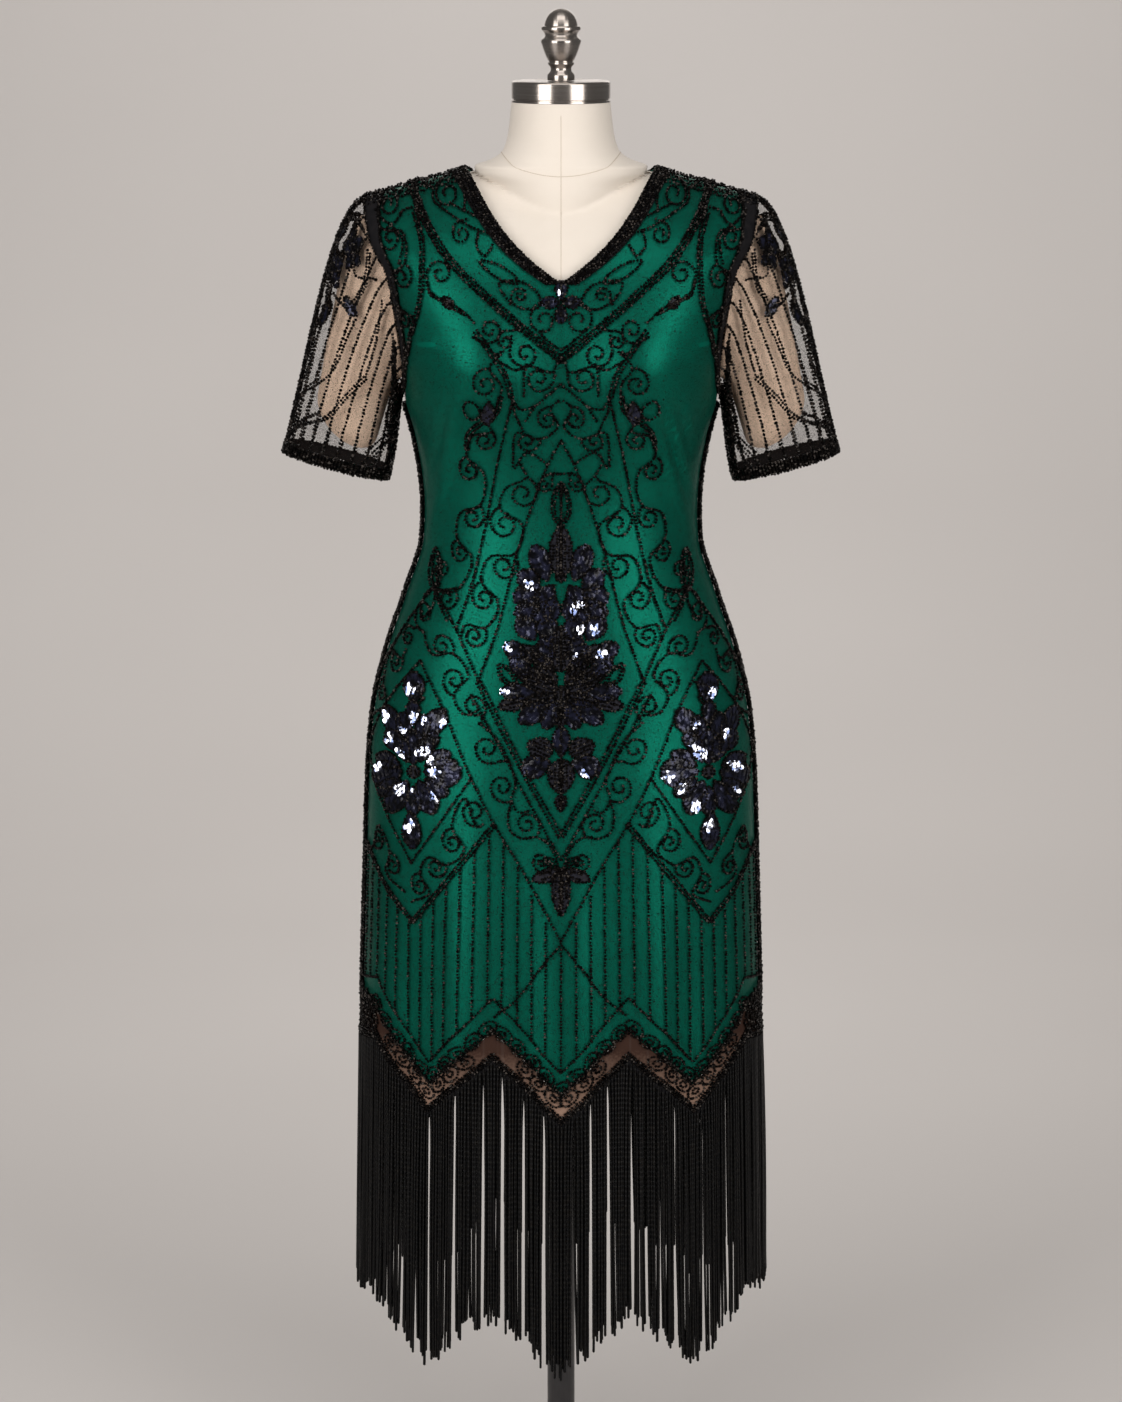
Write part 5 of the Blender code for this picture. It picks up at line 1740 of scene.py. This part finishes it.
def shoulder_runs(side):
    """Close bumpy rows of beads along the shoulder seam."""
    runs = []
    x = np.linspace(NECK_X + SHOULDER_END, TIP_X - SHOULDER_END, 90)
    for k, drop in enumerate(SHOULDER_ROWS):
        z = shoulder_height(x) - drop
        y = facing(side) * (depth(side, x, z) + SHOULDER_OUT)
        bump = SHOULDER_BUMP * np.abs(np.sin(x / SHOULDER_BUMP_LENGTH + 1.9 * k))
        points = np.column_stack((x, y, z + CLOTH_DEPTH + SHOULDER_UP + bump))
        runs += [(mirrored(points, sign), BEAD_RADIUS, BEAD_PITCH) for _, sign in HALVES]
    return runs


def signs_of(u):
    """The halves that a curve is made on: one for a curve on the middle line, else both."""
    return (1.0,) if np.abs(u).max() < ON_MIDDLE else (1.0, -1.0)


def add_leaf_grounds(side):
    """Dark cloth under the filled leaves."""
    vertices = []
    faces = []
    count = 0
    for out, down, turn, length, width, filling in LEAVES:
        if filling not in ("beads", "sequins"):
            continue
        grid = leaf_grid(in_view(out, down), turn, length, width, leaf_peak(filling))
        flat = on_cloth(grid.reshape(-1, 2)).reshape(grid.shape)
        for _, sign in HALVES:
            vertices.append(placed(side, flat, sign, GROUND_OUT)[0].reshape(-1, 3))
            faces.append(quads(LEAF_ROWS, LEAF_COLUMNS, sign < 0.0) + count)
            count += LEAF_ROWS * LEAF_COLUMNS
    obj = mesh_object(f"leaf_ground_{side}", np.concatenate(vertices), np.concatenate(faces), sequin_ground)


def add_leaf_sequins(side):
    """The sequins of the petals. The place a step ahead of each gives the way that it points."""
    spots = []
    ahead = []
    loose_and_painted_glint = []
    for out, down, turn, length, width, filling in LEAVES:
        if filling != "sequins":
            continue
        places = leaf_sequins(in_view(out, down), turn, length, width)
        for across, up, angle in places:
            spots.append((across, up))
            ahead.append((across + math.sin(angle), up + math.cos(angle)))
        share = LOOSE_PAINTED_GLINT_PETALS["side" if out > SIDE_FLOWER_FROM else "middle"]
        loose_and_painted_glint.append([loose_and_painted_glint_ones(places, share) for _ in HALVES])
    spots = on_cloth(np.array(spots))
    ahead = on_cloth(np.array(ahead))
    parts = []
    for half, (_, sign) in enumerate(HALVES):
        points, normals = placed(side, spots, sign, SEQUIN_OUT)
        alongs = placed(side, ahead, sign, SEQUIN_OUT)[0] - points
        parts.append((points, normals, alongs, np.concatenate([petal[half] for petal in loose_and_painted_glint])))
    add_sequins(f"sequins_{side}", *(np.concatenate(column) for column in zip(*parts)))


curves = pattern_curves()
uprights = upright_curves()
for side in SIDES:
    groups = {"bodice": [], "hip": [], "skirt": []}
    for curve in curves:
        middle = float(curve[:, 1].mean())
        group = "bodice" if middle > WAIST_Z else "hip" if middle > SKIRT_Z else "skirt"
        for sign in signs_of(curve[:, 0]):
            groups[group].append((placed(side, curve, sign, BEAD_OUT)[0], BEAD_RADIUS, BEAD_PITCH))
    for share, bottom, top in uprights:
        z = np.linspace(bottom, top, 90)
        for sign in signs_of(share):
            points = cloth(side, np.full_like(z, sign * share), z, BEAD_OUT)[0]
            groups["skirt"].append((points, THIN_BEAD, BEAD_PITCH))
    zigzag_line = cloth(side, EDGE_SHARES, zigzag_height(EDGE_SHARES), BEAD_OUT)[0]
    groups["skirt"].append((zigzag_line, BEAD_RADIUS, BEAD_PITCH))
    groups["hem"] = [(hem_line(side, above, out), radius, BEAD_PITCH) for above, out, radius in HEM_LINES]
    groups["hem"] += hem_loops(side)
    groups["side"] = side_band_runs(side) + corner_runs(side)
    groups["trim"] = trim_runs[side] + shoulder_runs(side)
    for group, runs in groups.items():
        add_beads(f"beads_{group}_{side}", runs)
    add_leaf_grounds(side)
    add_leaf_sequins(side)


# ---- Beads of the sleeves --------------------------------------------------------------------------------
SLEEVE_OUT = NET_WALL + 0.0007
SLEEVE_SEQUIN_OUT = NET_WALL + 0.0009
CUFF_BEAD_OUT = NET_WALL + PLY_GAP + BAND_WALL + 0.0006
CUFF_BEAD_RADIUS = 1.05 * BEAD_RADIUS
SEAM_BEAD_RADIUS = 1.08 * BEAD_RADIUS
SLEEVE_BUMP = 0.0012
SLEEVE_INNER_WAVE = 0.0025
TURN_STEP = 0.01
SHARE_STEP = 0.02


def sleeve_metric(turn, share):
    """Length of a whole turn and of the whole sleeve at a place on it."""
    a, _ = sleeve_at(np.array((turn - TURN_STEP, turn + TURN_STEP)), share)
    b, _ = sleeve_at(turn, np.array((share - SHARE_STEP, share + SHARE_STEP)))
    return np.linalg.norm(a[1] - a[0]) / (2.0 * TURN_STEP), np.linalg.norm(b[1] - b[0]) / (2.0 * SHARE_STEP)


def sleeve_line(places, way, shift=0.0):
    """The turns and shares of evenly spread points on a line through places on the sleeve."""
    line = smooth_curve([(way * (turn + shift), share) for turn, share in places])
    lengths = lengths_along(line)
    return read_along(line, lengths, np.linspace(0.0, lengths[-1], 200)).T


def sleeve_runs():
    """The bead lines of the left sleeve and its cuff. A few sines keep them from looking ruled."""
    runs = []
    share = np.linspace(0.01, 1.0, 220)
    for k in range(SLEEVE_LINES):
        wave = SLEEVE_LINE_WAVE * (np.sin(share * 9.0 + 1.7 * k) + 0.5 * np.sin(share * 31.0 + 2.9 * k))
        turn = (k + 0.5) / SLEEVE_LINES
        runs.append((sleeve_at(turn + wave, share, SLEEVE_OUT)[0], SLEEVE_BEAD, SLEEVE_PITCH))
    for k, turn in enumerate(SLEEVE_SEAM_TURNS + SLEEVE_TOP_TURNS):
        wave = 0.5 * SLEEVE_LINE_WAVE * np.sin(share * 40.0 + 2.1 * k)
        rough = SLEEVE_OUT + SLEEVE_BUMP * np.abs(np.sin(share * 55.0 + k))
        runs.append((sleeve_at(turn + wave, share, rough)[0], SEAM_BEAD_RADIUS, BEAD_PITCH))
    for way in (1.0, -1.0):
        for row in range(SLEEVE_INNER_ROWS):
            turns, shares = sleeve_line(SLEEVE_INNER_EDGE, way, row * SLEEVE_INNER_GAP)
            wave = SLEEVE_INNER_WAVE * np.sin(shares * 46.0 + 2.3 * row)
            rough = SLEEVE_OUT + SLEEVE_BUMP * np.abs(np.sin(shares * 61.0 + row))
            runs.append((sleeve_at(turns + wave, shares, rough)[0], BEAD_RADIUS, BEAD_PITCH))
        for rows, places in SLEEVE_CURVES:
            for row in range(rows):
                turns, shares = sleeve_line(places, way, (row - 0.5 * (rows - 1)) * SLEEVE_CURVE_GAP)
                runs.append((sleeve_at(turns, shares, SLEEVE_OUT)[0], BEAD_RADIUS, BEAD_PITCH))
        for turn, share_at, angle, length, width in SLEEVE_LEAVES:
            around, down = sleeve_metric(way * turn, share_at)
            outline = leaf_outline(np.zeros(2), angle * way, length * MM, width * MM)
            turns = way * turn + outline[:, 0] / around
            shares = np.clip(share_at - outline[:, 1] / down, 0.0, 1.0)
            runs.append((sleeve_at(turns, shares, SLEEVE_OUT)[0], BEAD_RADIUS, BEAD_PITCH))
    turns = np.linspace(0.0, 1.0, 240)
    for step in CUFF_BEAD_ROWS:
        line = SLEEVE.at(turns, mix(SLEEVE_END, 1.0, step), CUFF_BEAD_OUT)[0]
        runs.append((line, CUFF_BEAD_RADIUS, BEAD_PITCH))
    return runs


left_runs = sleeve_runs()
for label, sign in HALVES:
    runs = [(mirrored(points, sign), radius, pitch) for points, radius, pitch in left_runs]
    add_beads(f"beads_sleeve_{label}", runs)
    centres = []
    normals = []
    alongs = []
    loose_and_painted_glint = []
    for way in (1.0, -1.0):
        for turn, share_at, angle, length, width in SLEEVE_LEAVES:
            around, down = sleeve_metric(way * turn, share_at)
            places = leaf_sequins(np.zeros(2), angle * way, length, width)
            loose_and_painted_glint.append(loose_and_painted_glint_ones(places, LOOSE_PAINTED_GLINT_PETALS["sleeve"]))
            for u, v, lean in places:
                share = max(0.0, share_at - v * MM / down)
                point, normal = sleeve_at(way * turn + u * MM / around, share, SLEEVE_SEQUIN_OUT)
                centres.append(mirrored(point, sign))
                normals.append(mirrored(normal, sign))
                alongs.append(mirrored(np.array((math.sin(lean), 0.3, math.cos(lean))), sign))
    spots = (np.array(centres), np.array(normals), np.array(alongs))
    add_sequins(f"sequins_sleeve_{label}", *spots, np.concatenate(loose_and_painted_glint))


# ---- Fringe ----------------------------------------------------------------------------------------------
def tuft_edges():
    """Where one tuft of the fringe ends and the next starts, across the front view."""
    edges = [-TUFTS_REACH]
    while edges[-1] < TUFTS_REACH:
        edges.append(edges[-1] + random.uniform(*TUFT_WIDTH))
    return np.array(edges)


TUFTS = tuft_edges()


def seen_across(point):
    return point[0] * CAMERA_DISTANCE / (CAMERA_DISTANCE + point[1] * CAMERA_LEVEL)


def strand(side, share, layer):
    """The middle line of a strand, from inside the header to its tip."""
    share = np.array(share)
    hem = float(hem_height(share)) - NET_BELOW_LINING
    top, _ = cloth(side, share, hem - HEADER_BELOW + STRAND_TOP, BAND_OUT + STRAND_OUT[layer])
    across = seen_across(top)
    tuft = int(np.clip(np.searchsorted(TUFTS, across) - 1, 0, len(TUFTS) - 2))
    toward = 0.5 * (TUFTS[tuft] + TUFTS[tuft + 1]) - across
    near_side = smooth_step(*SIDE_STRANDS, abs(across))
    t = np.linspace(0.0, 1.0, STRAND_RINGS)
    pull = mix(TUFT_PULL[0] * smooth_step(0.0, 0.12, t), TUFT_PULL[1], t) * mix(1.0, SIDE_PULL, near_side)
    tip_z = mix(FRINGE_NOTCH_Z, FRINGE_POINT_Z, float(zigzag(share))) + float(random.uniform(*TIP_STRAY))
    sway = random.normal(scale=STRAND_SWAY, size=2)
    flare = mix(1.0, FRINGE_FLARE, t)
    x = top[0] * flare + toward * pull + sway[0] * np.sin(math.pi * t) + random.normal(scale=STRAND_DRIFT) * t
    y = top[1] * flare + sway[1] * np.sin(math.pi * t)
    z = mix(top[2], tip_z, t)
    line = np.column_stack((x, y, z))
    end = line[-1] + np.outer(np.linspace(0.0, 1.0, len(STRAND_END)), (0.0, 0.0, -STRAND_END_LENGTH))
    return np.concatenate((line, end[1:]))


def add_strands(name, lines):
    """Joined thin cords with rounded ends."""
    corners = np.arange(STRAND_CORNERS)
    angles = corners * 2.0 * math.pi / STRAND_CORNERS
    rings = len(lines[0])
    vertices = []
    for line in lines:
        turn = random.uniform(0.0, 2.0 * math.pi)
        ring = np.column_stack((np.cos(angles + turn), np.sin(angles + turn), np.zeros(STRAND_CORNERS)))
        radii = np.full(rings, STRAND_RADIUS * random.uniform(*STRAND_SIZES))
        radii[-len(STRAND_END):] *= STRAND_END
        vertices.append((line[:, None] + ring[None] * radii[:, None, None]).reshape(-1, 3))
    ring_starts = np.arange(rings - 1)[:, None] * STRAND_CORNERS
    start = (ring_starts + corners).reshape(-1)
    after = (ring_starts + (corners + 1) % STRAND_CORNERS).reshape(-1)
    faces = np.column_stack((start, start + STRAND_CORNERS, after + STRAND_CORNERS, after))
    faces = faces[None] + (np.arange(len(lines)) * rings * STRAND_CORNERS)[:, None, None]
    obj = mesh_object(name, np.concatenate(vertices), faces.reshape(-1, 4), thread)
    return obj


headers = {}
for side in SIDES:
    lines = []
    for layer, start in enumerate(STRAND_LAYERS):
        for k in range(STRANDS):
            share = -1.0 + 2.0 * (k + start) / STRANDS
            lines.append(strand(side, share + float(random.normal(scale=STRAND_STRAY)), layer))
    add_strands(f"fringe_strands_{side}", lines)
    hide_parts(f"fringe_{side}")
    shares = np.linspace(-1.0, 1.0, 321)
    edge = hem_height(shares) - NET_BELOW_LINING
    rows = [cloth(side, shares, edge + rise, BAND_OUT + BAND_WALL - HEADER_SINK)[0] for rise in HEADER_ROWS]
    faces = quads(len(rows), len(shares), side == "back")
    headers[side] = mesh_object(f"fringe_header_{side}", np.concatenate(rows), faces, ribbon)
    add_wall(headers[side], HEADER_SHELL)


# ---- Dress form ------------------------------------------------------------------------------------------
FORM_QUARTER = 30
FOOT_ROUND = 0.012
FOOT_ANGLES = (0.0, 22.5, 45.0, 67.5)
FORM_FOOT_X = 0.95
FORM_FOOT_Y = 0.93
FORM_STRETCHES = (  # from height, to height, rings
    (FORM_BOTTOM + FOOT_ROUND, 1.354, 82),
    (1.360, FORM_TOP - 0.0003, 24),
    (1.4155, 1.4355, 15),
    (1.4375, NECK[-1][0], 10),
)


def plate_x(z):
    return mix(PLATE_LOW[0], PLATE_TOP[0], (z - PLATE_LOW[1]) / (PLATE_TOP[1] - PLATE_LOW[1]))


def form_ring(z):
    """A level ring of the form, from the front middle round by the left side."""
    reach = float(neck_part("half_width", z))
    if z < FORM_TOP:
        reach = min(float(side_x(z)) - FORM_EASE, NECK_X + (FORM_TOP - z) / SHOULDER_FALL)
    shares = np.linspace(0.0, 1.0, FORM_QUARTER + 1)
    front = path_row("front", (0.0, z), (reach, z), shares, form_depth)
    back = path_row("back", (0.0, z), (reach, z), shares, form_depth)
    front[-1, 1] = 0.0
    half = np.concatenate((front, back[-2::-1]))
    if z > PLATE_LOW[1]:
        half[:, 0] = np.minimum(half[:, 0], plate_x(z))
    return np.concatenate((half, mirrored(half[-2:0:-1], -1.0)))


def make_form():
    """The torso with its neck, from its rounded foot up. Returns its rings."""
    first = form_ring(FORM_BOTTOM + FOOT_ROUND)
    rings = []
    for angle in np.radians(FOOT_ANGLES):
        size = (mix(FORM_FOOT_X, 1.0, math.sin(angle)), mix(FORM_FOOT_Y, 1.0, math.sin(angle)), 1.0)
        ring = first * size
        ring[:, 2] = FORM_BOTTOM + FOOT_ROUND * (1.0 - math.cos(angle))
        rings.append(ring)
    for low, high, count in FORM_STRETCHES:
        rings += [form_ring(float(z)) for z in np.linspace(low, high, count)]
    rings = np.array(rings)
    grid = np.concatenate((rings, rings[:, :1]), axis=1)
    rows, count = grid.shape[:2]
    bottom = list(range(count - 1))
    caps = (bottom[::-1], [(rows - 1) * count + k for k in bottom])
    obj = mesh_object("linen_torso", grid.reshape(-1, 3), quads(rows, count, False), linen, caps=caps)
    weld(obj)
    obj.data.set_sharp_from_angle(angle=math.radians(50.0))
    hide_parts("form_torso")
    return rings


form_rings = make_form()


def add_seam(name, points, radius):
    """A thin round line of thread."""
    curve = bpy.data.curves.new(name, "CURVE")
    curve.dimensions = "3D"
    curve.bevel_depth = radius
    curve.bevel_resolution = 1
    spline = curve.splines.new("POLY")
    spline.points.add(len(points) - 1)
    for corner, point in zip(spline.points, points):
        corner.co = (*point, 1.0)
    curve.materials.append(seam)
    obj = add_object(name, curve)
    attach(obj, "root")


def on_form(column, z):
    """A point of the form's surface on one of its columns, at a height."""
    heights = form_rings[:, column, 2]
    return np.array([np.interp(z, heights, form_rings[:, column, k]) for k in range(3)])


FORM_COLUMNS = form_rings.shape[1]
NECK_SEAM_RADIUS = 0.00035
NECK_SEAM_SIDE_Z = 1.4330
NECK_SEAM_DIP = 0.0195
MIDDLE_SEAM_RADIUS = 0.00030
MIDDLE_SEAM_TOP = 1.470
MIDDLE_SEAMS = (("front", 0, 1.300), ("back", FORM_COLUMNS // 2, 1.330))  # label, column, lower end
neck_seam = []
for column in list(range(FORM_COLUMNS)) + [0]:
    facing_front = max(0.0, math.cos(2.0 * math.pi * column / FORM_COLUMNS))
    neck_seam.append(on_form(column, NECK_SEAM_SIDE_Z - NECK_SEAM_DIP * facing_front ** 2.4))
add_seam("neck_seam", neck_seam, NECK_SEAM_RADIUS)
for label, column, low in MIDDLE_SEAMS:
    line = [on_form(column, z) for z in np.linspace(low, MIDDLE_SEAM_TOP, 50)]
    add_seam(f"middle_seam_{label}", line, MIDDLE_SEAM_RADIUS)


def make_arm(label, sign):
    """A padded upper arm inside the sleeve: flat on the arm plate, tapering, rounded at its end."""
    turns = np.linspace(0.0, 1.0, 73)
    rings = []
    for share in np.linspace(ARM_ROOT, ARM_END, 30):
        ring = sleeve_at(turns, share)[0]
        centre = ring[:-1].mean(axis=0)
        rings.append(centre + (ring - centre) * mix(ARM_INSET, ARM_TAPER, share / ARM_END))
    rings[0][:, 2] = np.clip(rings[0][:, 2], PLATE_LOW[1] + PLATE_MARGIN, PLATE_TOP[1] - PLATE_MARGIN)
    rings[0][:, 0] = plate_x(rings[0][:, 2]) + HARD_GAP
    centre = rings[-1][:-1].mean(axis=0)
    last = rings[-1]
    for angle in np.radians(np.linspace(8.0, 90.0, 11)):
        middle = centre + CUFF_AXIS * (ARM_DOME_HEIGHT * math.sin(angle))
        rings.append(middle + (last - centre) * max(math.cos(angle), 0.002))
    obj = closed_piece(f"arm_pad_{label}", np.array(rings), sign, arm_cover)
    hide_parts(f"form_arm_{label}")


for label, sign in HALVES:
    make_arm(label, sign)


def lathe(name, profile, material, node, sides=96):
    """A turned piece from a profile of (radius, height), top first, closed on the axis or on itself."""
    angles = np.linspace(0.0, 2.0 * math.pi, sides + 1)
    profile = np.asarray(profile, dtype=float)
    grid = np.stack((
        profile[:, None, 0] * np.cos(angles)[None, :],
        profile[:, None, 0] * np.sin(angles)[None, :],
        np.broadcast_to(profile[:, None, 1], (len(profile), sides + 1)),
    ), axis=-1)
    obj = mesh_object(name, grid.reshape(-1, 3), quads(len(profile), sides + 1, True), material)
    weld(obj, 1e-6)
    obj.data.set_sharp_from_angle(angle=math.radians(35.0))
    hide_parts(node)


def rounded(radius, height, edge, start, end, steps=6):
    """Profile points round an edge whose outer corner is at (radius, height)."""
    points = []
    for angle in np.radians(np.linspace(start, end, steps)):
        points.append((radius - edge + edge * math.cos(angle), height + edge * math.sin(angle)))
    return points


cap = [(0.0, CAP_TOP - 0.0004), (0.036, CAP_TOP - 0.0004), (0.038, CAP_TOP)]
cap += rounded(CAP_RADIUS, CAP_TOP - 0.0025, 0.0025, 90, 0)
cap += [
    (CAP_RADIUS, CAP_BOTTOM + 0.0036),
    (CAP_RADIUS - 0.0007, CAP_BOTTOM + 0.0030),
    (CAP_RADIUS - 0.0007, CAP_BOTTOM + 0.0022),
    (CAP_RADIUS, CAP_BOTTOM + 0.0016),
    (CAP_RADIUS, CAP_BOTTOM),
    (0.0, CAP_BOTTOM),
]
lathe("nickel_cap", cap, nickel, "neck_cap")

FINIAL_SECTION = (  # radius, distance below the top
    (0.0000, 0.0000), (0.0042, 0.0006), (0.0082, 0.0022), (0.0112, 0.0046), (0.0135, 0.0078),
    (0.0150, 0.0114), (0.0158, 0.0148), (0.0161, 0.0164), (0.0182, 0.0168), (0.0189, 0.0177),
    (0.0190, 0.0190), (0.0187, 0.0203), (0.0172, 0.0216), (0.0160, 0.0234), (0.0156, 0.0250),
    (0.0164, 0.0268), (0.0184, 0.0284), (0.0192, 0.0298), (0.0194, 0.0310), (0.0190, 0.0326),
    (0.0182, 0.0350), (0.0165, 0.0400), (0.0145, 0.0450), (0.0127, 0.0487), (0.0119, 0.0494),
    (0.0119, 0.0502), (0.0125, 0.0508), (0.0126, 0.0522), (0.0122, 0.0532), (0.0106, 0.0548),
    (0.0099, 0.0568), (0.0103, 0.0588), (0.0120, 0.0606), (0.0131, 0.0624), (0.0133, 0.0645),
    (0.0132, 0.0667),
)
foot = CAP_TOP + HARD_GAP
finial = [(radius, FINIAL_TOP - below) for radius, below in FINIAL_SECTION]
finial += [(FINIAL_SECTION[-1][0], foot), (0.0, foot)]
lathe("nickel_finial", finial, nickel, "finial")

plate = [(0.0, BASE_HEIGHT), (BASE_RADIUS - 0.012, BASE_HEIGHT)]
plate += rounded(BASE_RADIUS, BASE_HEIGHT - 0.004, 0.004, 90, 0)
plate += [(BASE_RADIUS, 0.0012), (BASE_RADIUS - 0.0012, 0.0), (0.0, 0.0)]
lathe("steel_base", plate, black_steel, "base_plate", 128)

bore = POLE_RADIUS + HARD_GAP
pole_low = BASE_HEIGHT + HARD_GAP
collar = [(bore, 0.062), (0.0198, 0.062)] + rounded(0.0212, 0.0606, 0.0014, 90, 0)
collar += [(0.0234, 0.0570), (0.0246, 0.0240), (0.0262, 0.0185), (0.0300, 0.0143)]
collar += [(0.0300, pole_low), (bore, pole_low)]
lathe("steel_collar", collar + collar[:1], black_steel, "base_collar")

for node in ("pole", "form_flange"):
    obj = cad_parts[node]
    obj.data.materials.clear()
    obj.data.materials.append(black_steel)


# ---- Studio ----------------------------------------------------------------------------------------------
PAPER_HALF_WIDTH = 2.3
PAPER_FRONT = -1.6
PAPER_CURVE = 2.2  # where the paper's curve starts, and its radius
PAPER_TOP = 8.0
PAPER_BELOW_FLOOR = 0.0002
WORLD_COLOUR = (0.93, 0.91, 0.89, 1.0)
WORLD_STRENGTH = 0.165
SOFTBOX_COLOUR = (1.0, 0.97, 0.94)
LIGHTS = (  # name, place, aim, size, energy
    ("softbox_right_of_wearer", (-1.75, -2.20, 1.60), (0.0, 0.0, 1.15), (1.5, 2.2), 57.0),
    ("softbox_left_of_wearer", (1.75, -2.20, 1.60), (0.0, 0.0, 1.15), (1.5, 2.2), 50.0),
    ("overhead", (0.0, -1.3, 3.2), (0.0, 0.0, 1.25), (2.0, 1.2), 20.0),
    ("backdrop_light", (0.0, 1.4, 3.4), (0.0, 4.2, 1.2), (3.4, 1.2), 78.0),
    ("rear_fill", (0.0, 2.6, 2.4), (0.0, 0.0, 1.0), (2.6, 1.4), 10.0),
)


def make_backdrop():
    """One sheet of paper: floor, a wide curve and wall."""
    profile = [(PAPER_FRONT, 0.0), (PAPER_CURVE, 0.0)]
    for angle in np.radians(np.linspace(8.0, 90.0, 14)):
        profile.append((PAPER_CURVE * (1.0 + math.sin(angle)), PAPER_CURVE * (1.0 - math.cos(angle))))
    profile.append((2.0 * PAPER_CURVE, PAPER_TOP))
    vertices = []
    for y, z in profile:
        vertices += [(x, y, z - PAPER_BELOW_FLOOR) for x in (-PAPER_HALF_WIDTH, PAPER_HALF_WIDTH)]
    faces = [(2 * k, 2 * k + 1, 2 * k + 3, 2 * k + 2) for k in range(len(profile) - 1)]
    mesh = bpy.data.meshes.new("studio_paper")
    mesh.from_pydata(vertices, [], faces)
    mesh.shade_smooth()
    finish = Finish("studio_paper", (0.56, 0.53, 0.51), 0.9)
    finish.colours(finish.noise(0.8, 2.0), (0.548, 0.522, 0.507), (0.578, 0.552, 0.536))
    finish.bump(finish.noise(90.0, 3.0), 0.03, 0.001)
    mesh.materials.append(finish.material)
    add_object("studio_paper", mesh)


def aimed(obj, place, aim):
    """Puts a light or the camera at a place, looking at another."""
    obj.location = place
    obj.rotation_euler = (Vector(aim) - Vector(place)).to_track_quat("-Z", "Y").to_euler()
    return obj


def softbox(name, place, aim, size, energy):
    light = bpy.data.lights.new(name, "AREA")
    light.shape = "RECTANGLE"
    light.size, light.size_y = size
    light.energy = energy
    light.color = SOFTBOX_COLOUR
    aimed(add_object(name, light), place, aim)


def make_camera():
    data = bpy.data.cameras.new("camera")
    data.sensor_width = SENSOR
    data.lens = SENSOR * CAMERA_DISTANCE / (FRAME_ROWS * MM)
    data.clip_end = 60.0
    place = (0.0, -CAMERA_DISTANCE * CAMERA_LEVEL, TARGET_Z + CAMERA_DISTANCE * CAMERA_DOWN)
    bpy.context.scene.camera = aimed(add_object("camera", data), place, (0.0, 0.0, TARGET_Z))


make_backdrop()
for light in LIGHTS:
    softbox(*light)
make_camera()

bpy.context.scene.view_settings.view_transform = "Standard"
bpy.context.scene.view_settings.look = "None"

world = bpy.data.worlds.new("studio")
world.use_nodes = True
world.node_tree.nodes["Background"].inputs["Color"].default_value = WORLD_COLOUR
world.node_tree.nodes["Background"].inputs["Strength"].default_value = WORLD_STRENGTH
bpy.context.scene.world = world
